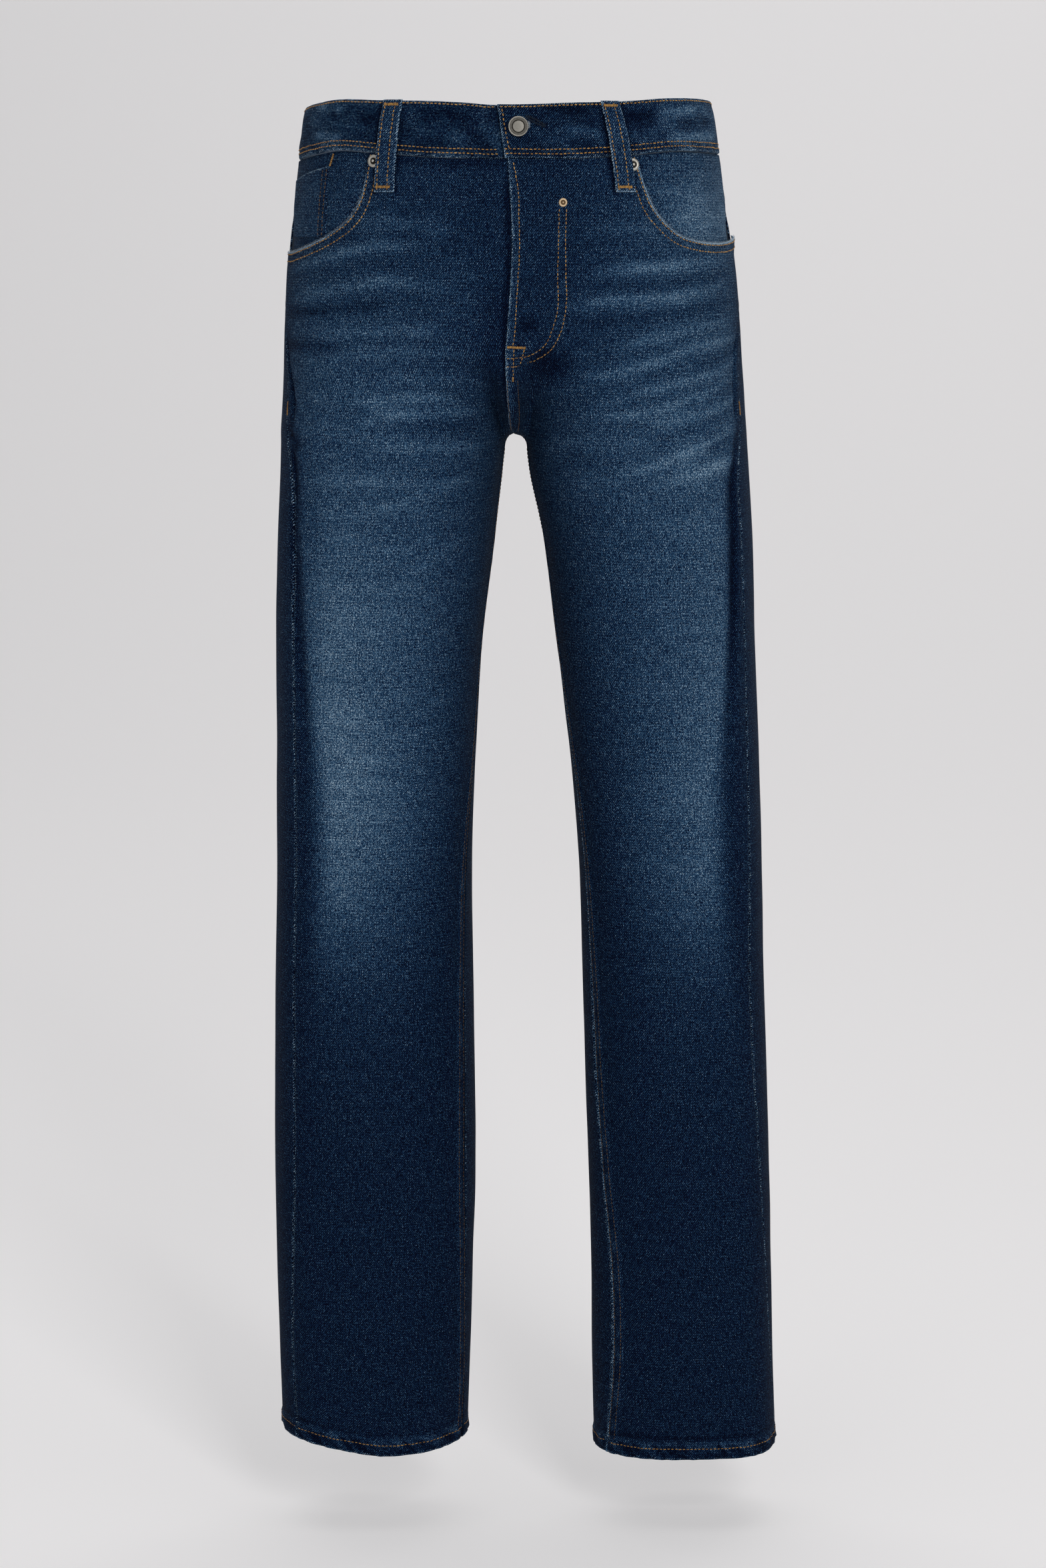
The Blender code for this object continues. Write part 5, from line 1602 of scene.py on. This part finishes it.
def sew_loops():
    """Two rows up each loop and a bar tack at each end."""
    thread = Seamster("belt_loop_stitching", "golden thread", 2000)
    for loop in LOOPS:
        def face(girth, height, loop=loop):
            top = band_top(loop.top) + LOOP_OVER_TOP
            share = (height - top) / (LOOP_FOOT - top)
            middle = loop.top + (loop.foot - loop.top) * share
            return loop_lift(loop, share, (girth - middle) * BAND_MM)
        share = np.linspace(0.02, 0.985, 120)
        for across in LOOP_ROWS:
            thread.row(np.stack(loop_place(loop, share, across + 0 * share), -1), face)
        for at in (0.055, 0.945):
            start, end = (loop_place(loop, at, x) for x in (-5.6, 4.4))
            thread.tack(start, end, face, 2.1)
    thread.sew()


def scoop_row(front, offset, first=0.0):
    """A row beside a pocket's edge, offset into the front."""
    line = np.stack(traced(front.scoop, np.linspace(first, len(front.scoop) - 1.02, 260)), -1)
    moved = beside(line, -offset)
    moved = moved[(moved[:, 1] < band_seam(front.sign * moved[:, 0]) - 1.0) & (moved[:, 0] < 0.985)]
    return moved * (front.sign, 1)


def sew_front_pockets():
    """Two rows round each opening, and the coin pocket's tack and its two brown rows."""
    thread = Seamster("front_pocket_stitching", "golden thread", 3000)
    for front in FRONTS:
        for offset in (2.0, 7.2):
            thread.row(scoop_row(front, offset), front.lift)
    thread.tack((-0.664, -23), (-0.676, -32), coin_lift, 1.6)
    thread.sew()
    brown = Seamster("coin_pocket_stitching", "brown thread", 3500, 0.36)
    for offset in (0.4, 4.0):
        inwards = offset / GIRTH_MM
        brown.row([(-0.685 - inwards, -33.6 - offset * 0.2), (-0.699 - inwards, -84)], coin_lift)
    brown.sew()


def sew_fly():
    """The row beside the fly's edge, the double curved row that holds the facing, the tacks at
    its foot, and the two rows along the rise before and behind."""
    thread = Seamster("fly_stitching", "golden thread", 4000, 0.36)
    face = left_front_lift
    thread.row([(.017, -30), (.0345, -52), (.0345, -77), (.031, -115), (.033, -133), (.031, -159),
                (.027, -165)], face)
    thread.row([(.195, -64), (.186, -94), (.186, -111), (.199, -133), (.199, -142), (.185, -154),
                (.163, -164), (.1185, -170), (.061, -173), (-.002, -174)], face)
    thread.row([(.222, -64), (.213, -94), (.217, -111), (.231, -133), (.231, -142), (.219, -156),
                (.195, -166), (.161, -172), (.117, -176), (.027, -180), (-.004, -180)], face)
    thread.tack((.002, -165.8), (.082, -166.3), face, 1.9)
    thread.row([(.077, -167), (.058, -178)], face)
    thread.row([(.031, -167), (.027, -187)], face)
    thread.tack((.027, -187.5), (.027, -190.5), face, 1.2)
    thread.sew()
    brown = Seamster("rise_stitching", "brown thread", 4500, 0.32)
    brown.row([(.002, -190), (-.008, -214), (-.020, -230)], face)
    brown.row([(.046, -190), (.047, -214), (.040, -231)], face)
    for offset in (2.2, 8.2):
        brown.row(height_row(-86, -228, lambda h: 2 - offset / np.maximum(reach(1.95 + 0 * h, h), 60)),
                  back_lift)
    brown.sew()


def sew_legs():
    """The inseams' two rows and the row round each hem, with the side seams' tacks."""
    brown = Seamster("inseam_stitching", "brown thread", 5000, 0.30)
    for front in FRONTS:
        for offset in (1.9, 8.3):
            def girth_of(height, sign=front.sign, offset=offset):
                return sign * offset / reach(np.full(height.shape, sign * 0.03), height)
            brown.row(height_row(-247, -1035, girth_of, 900), front.lift)
    brown.sew()
    thread = Seamster("hem_stitching", "golden thread", 5500, 0.34)
    for front in FRONTS:
        sign = front.sign
        side = float(side_turn(float(sign), -1038.0))
        thread.row(girth_row(sign * 0.012, sign * (side - 0.008), lambda g: HEM_ROW + 0 * g), front.lift)
        thread.row(girth_row(sign * (side + 0.008), sign * 1.988, lambda g: HEM_ROW + 0 * g), back_lift)
        low = float(side_turn(float(sign), -214.0))
        thread.tack((sign * (low - 0.006), -209), (sign * (low - 0.010), -219), front.lift, 1.5)
    thread.sew()


def sew_backs():
    """Two rows along each yoke and round each back pocket, and two across its mouth."""
    thread = Seamster("back_stitching", "golden thread", 6000, 0.36)
    for sign in (-1, 1):
        def pocket_row(across, height):
            thread.row(list(zip(sign * on_pocket(sign, across, height), height)), back_pocket_lift)

        for above in (1.9, 8.0):
            line = girth_row(sign * 1.012, sign * 1.988, lambda g: yoke_seam(np.abs(g)) + above)
            thread.row(line, on_yoke)
        for inset in (2.0, 8.0):
            across = 1 - inset / 60.0
            corner = POCKET_CORNER + inset * 0.8
            for edge in (-across, across):
                pocket_row(edge, np.linspace(POCKET_TOP + POCKET_TILT * edge - 1, corner, 40))
                run = np.linspace(0, edge, 20)
                pocket_row(run, corner - POCKET_POINT * (across - np.abs(run)))
        for below in (2.4, 13.5):
            run = np.linspace(-0.98, 0.98, 30)
            pocket_row(run, POCKET_TOP + POCKET_TILT * run - below)
        for end in (-1, 1):
            top = POCKET_TOP + POCKET_TILT * end
            girth = sign * on_pocket(sign, end * 0.95, top - 6)
            thread.tack((girth, top - 1.5), (girth, top - 12), back_pocket_lift, 1.8)
    thread.sew()


def sew_buttonhole():
    """The buttonhole's close stitches round its slot."""
    thread = Seamster("buttonhole_stitching", "dark thread", 7099)
    turn = np.linspace(0, TURN, 160)
    line = np.stack([0.112 + 0.040 * np.cos(turn), -0.2 - 3.6 * np.cos(turn) + 1.3 * np.sin(turn)], -1)
    middle, direction, facing = stitch_places(line, band_face, 0.48)
    thread.add(middle + facing * 0.25, np.cross(facing, direction), facing, 1.5, 0.20)
    thread.sew()


# ---- frayed edges
def fray(name, lines, seed, spacing, length):
    """Loose fibres along an edge: thin three-sided threads that bend away from it. Each has four
    rings along a quarter turn from the cloth to the air."""
    rng = np.random.default_rng(seed)
    spots = []
    for line, lift, outside in lines:
        middle, direction, facing = stitch_places(line, lift, spacing)
        spots.append((middle, direction, facing, np.cross(direction, facing) * outside))
    start, along, facing, out = (np.concatenate(part) for part in zip(*spots))
    n = len(start)
    start = start + along * rng.uniform(-1, 1, (n, 1)) * spacing - out * rng.uniform(0.0, 1.2, (n, 1))
    lean = rng.normal(0, 0.9, (n, 1))
    size = length * rng.uniform(0.4, 1.3, (n, 1))
    t = np.linspace(0, 1, RINGS)[None, :, None]
    path = (start[:, None] + (out[:, None] * t + along[:, None] * lean[:, None] * t ** 1.5
                              + facing[:, None] * rng.uniform(-0.2, 0.7, (n, 1, 1)) * t ** 2)
            * size[:, None] + facing[:, None] * 0.10)
    radius = (0.075 * (1 - 0.6 * t)) * rng.uniform(0.7, 1.3, (n, 1, 1))
    turn = np.arange(3) * TURN / 3
    across, up = (wave(turn)[None, None, :, None] * radius[:, :, None] for wave in (np.cos, np.sin))
    points = path[:, :, None] + along[:, None, None] * across + facing[:, None, None] * up
    tone = np.repeat(rng.uniform(0, 1, n), RINGS * 3)
    put_threads(name, [(points.reshape(-1, 3), *tube_faces(n, 3), points[..., :2].reshape(-1, 2), tone)],
                "frayed thread")


def fray_edges():
    """The pocket edges' fray, and the tuft at the buttonhole."""
    fray("pocket_edge_fray", [(scoop_row(front, 0.25, 1.2), front.lift, front.sign) for front in FRONTS],
         8000, 0.33, 0.9)
    tuft = smooth_line(((0.080, -0.6), (0.085, -2.8), (0.081, -5.2)), 40)
    fray("buttonhole_fray", [(tuft, lambda g, h: band_face(g, h) + 0.5, 1)], 8100, 0.12, 2.2)


# ---- metal
def turned_piece(node, paint, rings, girth, height, lift, steps, ripple=None):
    """A turned piece standing on the cloth: rings of (radius, rise, worn) round the skin's normal
    from its top centre to its foot, with small caps; worn is how bright a ring is rubbed."""
    radius, rise, worn = (values[:, None] for values in rings)
    spot = np.array([girth]), np.array([height])
    base, axis = lifted(*spot, lift)[0], outward(*spot)[0]
    across = np.cross(axis, (0, 0, 1))
    across /= np.linalg.norm(across)
    up = np.cross(across, axis)
    turn = np.arange(steps) * TURN / steps
    rise = rise + (0 * turn if ripple is None else ripple(radius, rise, turn))
    points = (base + axis * rise[..., None] + across * (radius * np.cos(turn))[..., None]
              + up * (radius * np.sin(turn))[..., None])
    index = np.arange(rise.size).reshape(rise.shape)
    following = np.roll(index, -1, axis=1)
    quads = np.stack([index[:-1], index[1:], following[1:], following[:-1]], -1).reshape(-1, 4)
    corners = np.concatenate([quads.reshape(-1), index[0], index[-1][::-1]])
    sizes = np.concatenate([np.full(len(quads), 4), np.full(2, steps)])
    worn = np.clip(worn + 1.5 * (rise - rise.mean(axis=1, keepdims=True)), 0, 1)
    thing = put_faces(node, points.reshape(-1, 3), corners, sizes, [paint], None, None,
                      {"worn": worn.reshape(-1)}, sharp=45)
    hand_over(thing, node)


def profile(knots, count):
    """A smooth outline through (radius, rise, worn) knots, as three rows."""
    knots = np.asarray(knots, float)
    t = np.append(0, np.cumsum(np.hypot(*np.diff(knots[:, :2], axis=0).T)))
    at = np.unique(np.append(np.linspace(0, t[-1], count), t))
    return np.array([np.interp(at, t, knots[:, k]) for k in (0, 1, 2)])


def beads(radius, rise, turn):
    """The fine beads on the button's flat ring."""
    return np.exp(-((radius - 5.75) / 0.42) ** 4) * (0.20 * np.cos(38 * turn)) * (rise > 2.0)


def make_metal():
    """The shank button, the two pocket rivets and the small one at the fly."""
    button = profile((
        (0.3, 3.25, .34), (1.6, 3.22, .34), (3.3, 3.05, .38), (4.0, 2.85, .55), (4.25, 2.45, .05),
        (4.55, 2.40, .0), (4.8, 2.75, .12), (5.1, 2.95, .20), (6.4, 3.0, .20), (6.7, 3.15, .34),
        (7.1, 3.2, .55), (7.45, 2.9, .35), (7.5, 2.4, .30), (7.2, 1.7, .05), (5.0, 1.2, 0),
        (4.0, 1.0, 0), (4.0, 0.0, 0), (0.3, 0.0, 0)), 70)
    turned_piece("button", "antique nickel", button, 0.040, -4.3, BAND_LIFT + 0.6, 152, beads)
    rivet = profile((
        (0.15, 2.0, .95), (0.6, 1.9, .95), (1.0, 1.6, .5), (1.2, 1.0, 0), (1.3, 0.45, 0),
        (2.1, 0.40, 0), (2.6, 0.95, .55), (3.3, 1.12, .85), (4.1, 0.95, .75), (4.6, 0.55, .55),
        (4.7, 0.2, .2), (4.7, 0.0, 0), (0.15, 0.0, 0)), 46)
    for side, girth, height in (("right", -0.51, -29.0), ("left", 0.464, -31.7)):
        turned_piece("pocket_rivet_" + side, "antique nickel", rivet, girth, height, 0.75, 56)
    small = rivet * np.array([[0.70], [0.72], [1.0]])
    turned_piece("fly_rivet", "pale brass", small, 0.21, -59.7, FLY_RISE + 0.25, 48)


# ---- stage
def backdrop(look):
    """A pale sheet: a level floor that turns up behind in a quarter circle."""
    across = np.linspace(-12, 12, 13)
    turn = np.linspace(0, math.pi / 2, 25)
    y = np.concatenate([[-9.0], STAGE_BACK - STAGE_BEND + STAGE_BEND * np.sin(turn), [STAGE_BACK]])
    z = np.concatenate([[0.0], STAGE_BEND - STAGE_BEND * np.cos(turn), [9.0]]) + FLOOR
    points = np.stack(np.broadcast_arrays(across[None, :], y[:, None], z[:, None]), -1)
    index = np.arange(points[..., 0].size).reshape(points.shape[:2])
    quads = np.stack([index[:-1, :-1], index[:-1, 1:], index[1:, 1:], index[1:, :-1]], -1).reshape(-1, 4)
    Paint("backdrop paper", Roughness=1.0, Specular_IOR_Level=0.0, Base_Color=(*look.backdrop, 1),
          Emission_Color=(*look.backdrop, 1), Emission_Strength=look.backdrop_glow)
    thing = put_faces("backdrop", points.reshape(-1, 3) / MM, quads.reshape(-1),
                      np.full(len(quads), 4), ["backdrop paper"], None, None, {})


FLOOR = -1.112
STAGE_BACK = 7.0
STAGE_BEND = 3.5
CAMERA_PLACE = (0.0107, -2.83, -0.08)
CAMERA_PITCH = 8.6913  # degrees below the horizon
CAMERA_LENS = 83.15
Light = namedtuple("Light", "name place target width height watts")
LIGHTS = rows_of(
    Light,
    ("front soft light", (1.1, -3.3, 1.1), (0, 0, -0.55), 1.0, 1.6, 60),
    ("fill soft light", (-1.3, -3.3, 0.0), (0, 0, -0.6), 1.6, 2.4, 14),
    ("overhead soft light", (0.0, 0.3, 1.9), (0, 0.15, -1.0), 3.4, 2.8, 30),
    ("left rear light", (-2.6, 2.6, 0.8), (0, 0, -0.5), 1.4, 2.2, 5),
    ("right rear light", (2.6, 2.6, 0.8), (0, 0, -0.5), 1.4, 2.2, 5),
    ("wall light", (1.5, 3.6, 3.6), (1.5, 7.0, -0.2), 5.0, 0.8, 64))


def add_lights(look):
    """Large soft lamps, each turned to its target, and an even pale sky."""
    for light in LIGHTS:
        lamp = bpy.data.lights.new(light.name, "AREA")
        lamp.shape = "RECTANGLE"
        lamp.size, lamp.size_y = light.width, light.height
        lamp.energy = light.watts * look.brightness
        thing = bpy.data.objects.new(light.name, lamp)
        bpy.context.scene.collection.objects.link(thing)
        x, y, z = (b - a for a, b in zip(light.place, light.target))
        thing.location = light.place
        thing.rotation_euler = (math.pi / 2 + math.atan2(z, math.hypot(x, y)), 0, math.atan2(-x, y))
        thing.visible_camera = False
    world = bpy.data.worlds.new("pale sky")
    world.use_nodes = True
    sky = world.node_tree.nodes["Background"].inputs
    sky["Color"].default_value = (0.9, 0.93, 1.0, 1)
    sky["Strength"].default_value = look.sky
    bpy.context.scene.world = world


def add_camera():
    """The camera, level from side to side and looking slightly down."""
    lens = bpy.data.cameras.new("camera")
    lens.lens, lens.sensor_width = CAMERA_LENS, 36
    camera = bpy.data.objects.new("camera", lens)
    bpy.context.scene.collection.objects.link(camera)
    camera.location = CAMERA_PLACE
    camera.rotation_euler = (math.radians(90 - CAMERA_PITCH), 0, 0)
    bpy.context.scene.camera = camera


# ---- the add-on
def amount(name, description, default, low, high):
    """A number that a user may change."""
    return bpy.props.FloatProperty(name=name, description=description, default=default, min=low, max=high)


def colour(name, description, default):
    """A colour that a user may change."""
    return bpy.props.FloatVectorProperty(name=name, description=description, default=default,
                                         subtype="COLOR", size=3, min=0, max=1)


class DenimLook(bpy.types.PropertyGroup):
    """How the denim is dyed, woven and worn."""
    dark: amount("Unfaded level", "Brightness of unfaded cloth on the dye's scale", 16.5, 5, 80)
    faded: amount("Fading", "How much brighter fully faded cloth is", 52.0, 0, 120)
    gain: amount("Gain", "Multiplies every colour of the dye", 1.0, 0.2, 3)
    grain: amount("Grain", "Contrast of the streaked yarns", 1.0, 0, 3)
    twill: amount("Twill width", "From one slanting line to the next, along the weft, in millimetres",
                  1.7, 0.8, 4)
    bump: amount("Relief", "Height of the weave in millimetres", 0.16, 0, 1)
    nap: amount("Nap", "Soft sheen of the raised fibres", 0.004, 0, 1)


class StageLook(bpy.types.PropertyGroup):
    """The light and the backdrop."""
    backdrop: colour("Backdrop", "Colour of the floor and the wall", (0.66, 0.648, 0.648))
    backdrop_glow: amount("Backdrop glow", "Evens out the backdrop", 0.47, 0, 2)
    brightness: amount("Light", "Strength of all lamps", 1.0, 0, 10)
    sky: amount("Sky", "Strength of the even light from all round", 0.16, 0, 3)


class JeansPiece:
    """What the operators share."""
    bl_options = {"REGISTER", "UNDO"}

    def execute(self, context):
        self.build(context.scene)
        return {"FINISHED"}


class JEANS_OT_materials(JeansPiece, bpy.types.Operator):
    """Mix the denim's, the cotton's, the threads' and the metals' materials"""
    bl_idname = "jeans.materials"
    bl_label = "Materials"

    def build(self, scene):
        look = scene.jeans_denim
        denim_paint("worn denim", look)
        denim_paint("band denim", look, 1.3, 5.0)
        reverse_paint("denim reverse", look)
        cotton_paint("pocket cotton")
        tape_paint("zip tape")
        thread_paint("golden thread", (0.62, 0.34, 0.095), (0.13, 0.060, 0.018))
        thread_paint("brown thread", (0.155, 0.088, 0.036), (0.036, 0.026, 0.018))
        thread_paint("dark thread", (0.022, 0.036, 0.062), (0.003, 0.006, 0.012))
        thread_paint("frayed thread", (0.62, 0.66, 0.68), (0.25, 0.31, 0.38))
        metal_paint("antique nickel", (0.66, 0.63, 0.56), (0.030, 0.027, 0.023), 0.34)
        metal_paint("pale brass", (0.60, 0.46, 0.30), (0.16, 0.10, 0.05), 0.36)


class JEANS_OT_fronts(JeansPiece, bpy.types.Operator):
    """Make the two fronts, the left one with its doubled fly"""
    bl_idname = "jeans.fronts"
    bl_label = "Fronts"

    def build(self, scene):
        for front in FRONTS:
            make_front(front)


class JEANS_OT_backs(JeansPiece, bpy.types.Operator):
    """Make the two backs, their yokes and their patch pockets"""
    bl_idname = "jeans.backs"
    bl_label = "Backs"

    def build(self, scene):
        for side, sign in (("right", -1), ("left", 1)):
            make_back(side, sign)
            make_yoke(side, sign)
            make_back_pocket(side, sign)


class JEANS_OT_front_pockets(JeansPiece, bpy.types.Operator):
    """Make the front pockets' facings, cotton bags and the coin pocket"""
    bl_idname = "jeans.front_pockets"
    bl_label = "Front pockets"

    def build(self, scene):
        for front in FRONTS:
            make_facing(front)
        make_coin_pocket()
        for front in FRONTS:
            make_bag(front.side, front.sign)


class JEANS_OT_fly(JeansPiece, bpy.types.Operator):
    """Make the shield and the closed zip behind the fly"""
    bl_idname = "jeans.fly"
    bl_label = "Fly"

    def build(self, scene):
        make_fly_parts()


class JEANS_OT_waistband(JeansPiece, bpy.types.Operator):
    """Make the waistband and the five belt loops"""
    bl_idname = "jeans.waistband"
    bl_label = "Waistband"

    def build(self, scene):
        make_waistband()
        for loop in LOOPS:
            make_loop(loop)


class JEANS_OT_stitching(JeansPiece, bpy.types.Operator):
    """Sew every row, bar tack and buttonhole, and fray the pocket edges"""
    bl_idname = "jeans.stitching"
    bl_label = "Stitching"

    def build(self, scene):
        for sew in (sew_waistband, sew_loops, sew_front_pockets, sew_fly, sew_legs, sew_backs,
                    sew_buttonhole, fray_edges):
            sew()


class JEANS_OT_metal(JeansPiece, bpy.types.Operator):
    """Turn the button and the three rivets"""
    bl_idname = "jeans.metal"
    bl_label = "Button and rivets"

    def build(self, scene):
        make_metal()


class JEANS_OT_stage(JeansPiece, bpy.types.Operator):
    """Set up the backdrop, the lights and the camera"""
    bl_idname = "jeans.stage"
    bl_label = "Stage"

    def build(self, scene):
        look = scene.jeans_stage
        backdrop(look)
        add_lights(look)
        add_camera()
        scene.view_settings.view_transform = "Standard"


OPERATORS = (JEANS_OT_materials, JEANS_OT_fronts, JEANS_OT_backs, JEANS_OT_front_pockets,
             JEANS_OT_fly, JEANS_OT_waistband, JEANS_OT_stitching, JEANS_OT_metal, JEANS_OT_stage)


class JEANS_PT_panel(bpy.types.Panel):
    """Lists the pieces in the sidebar"""
    bl_label = "Jeans"
    bl_idname = "JEANS_PT_panel"
    bl_space_type = "VIEW_3D"
    bl_region_type = "UI"
    bl_category = "Jeans"

    def draw(self, context):
        for group in (context.scene.jeans_denim, context.scene.jeans_stage):
            for name in group.bl_rna.properties.keys():
                if name not in ("rna_type", "name"):
                    self.layout.prop(group, name)
        for operator in OPERATORS:
            self.layout.operator(operator.bl_idname)


CLASSES = (DenimLook, StageLook, *OPERATORS, JEANS_PT_panel)


def register():
    """Adds the classes and the settings."""
    for kind in CLASSES:
        bpy.utils.register_class(kind)
    bpy.types.Scene.jeans_denim = bpy.props.PointerProperty(type=DenimLook)
    bpy.types.Scene.jeans_stage = bpy.props.PointerProperty(type=StageLook)


def unregister():
    """Takes them away again."""
    del bpy.types.Scene.jeans_stage
    del bpy.types.Scene.jeans_denim
    for kind in reversed(CLASSES):
        bpy.utils.unregister_class(kind)


def main():
    """Builds everything in order."""
    register()
    for operator in OPERATORS:
        group, name = operator.bl_idname.split(".")
        getattr(getattr(bpy.ops, group), name)()


if __name__ == "__main__":
    main()
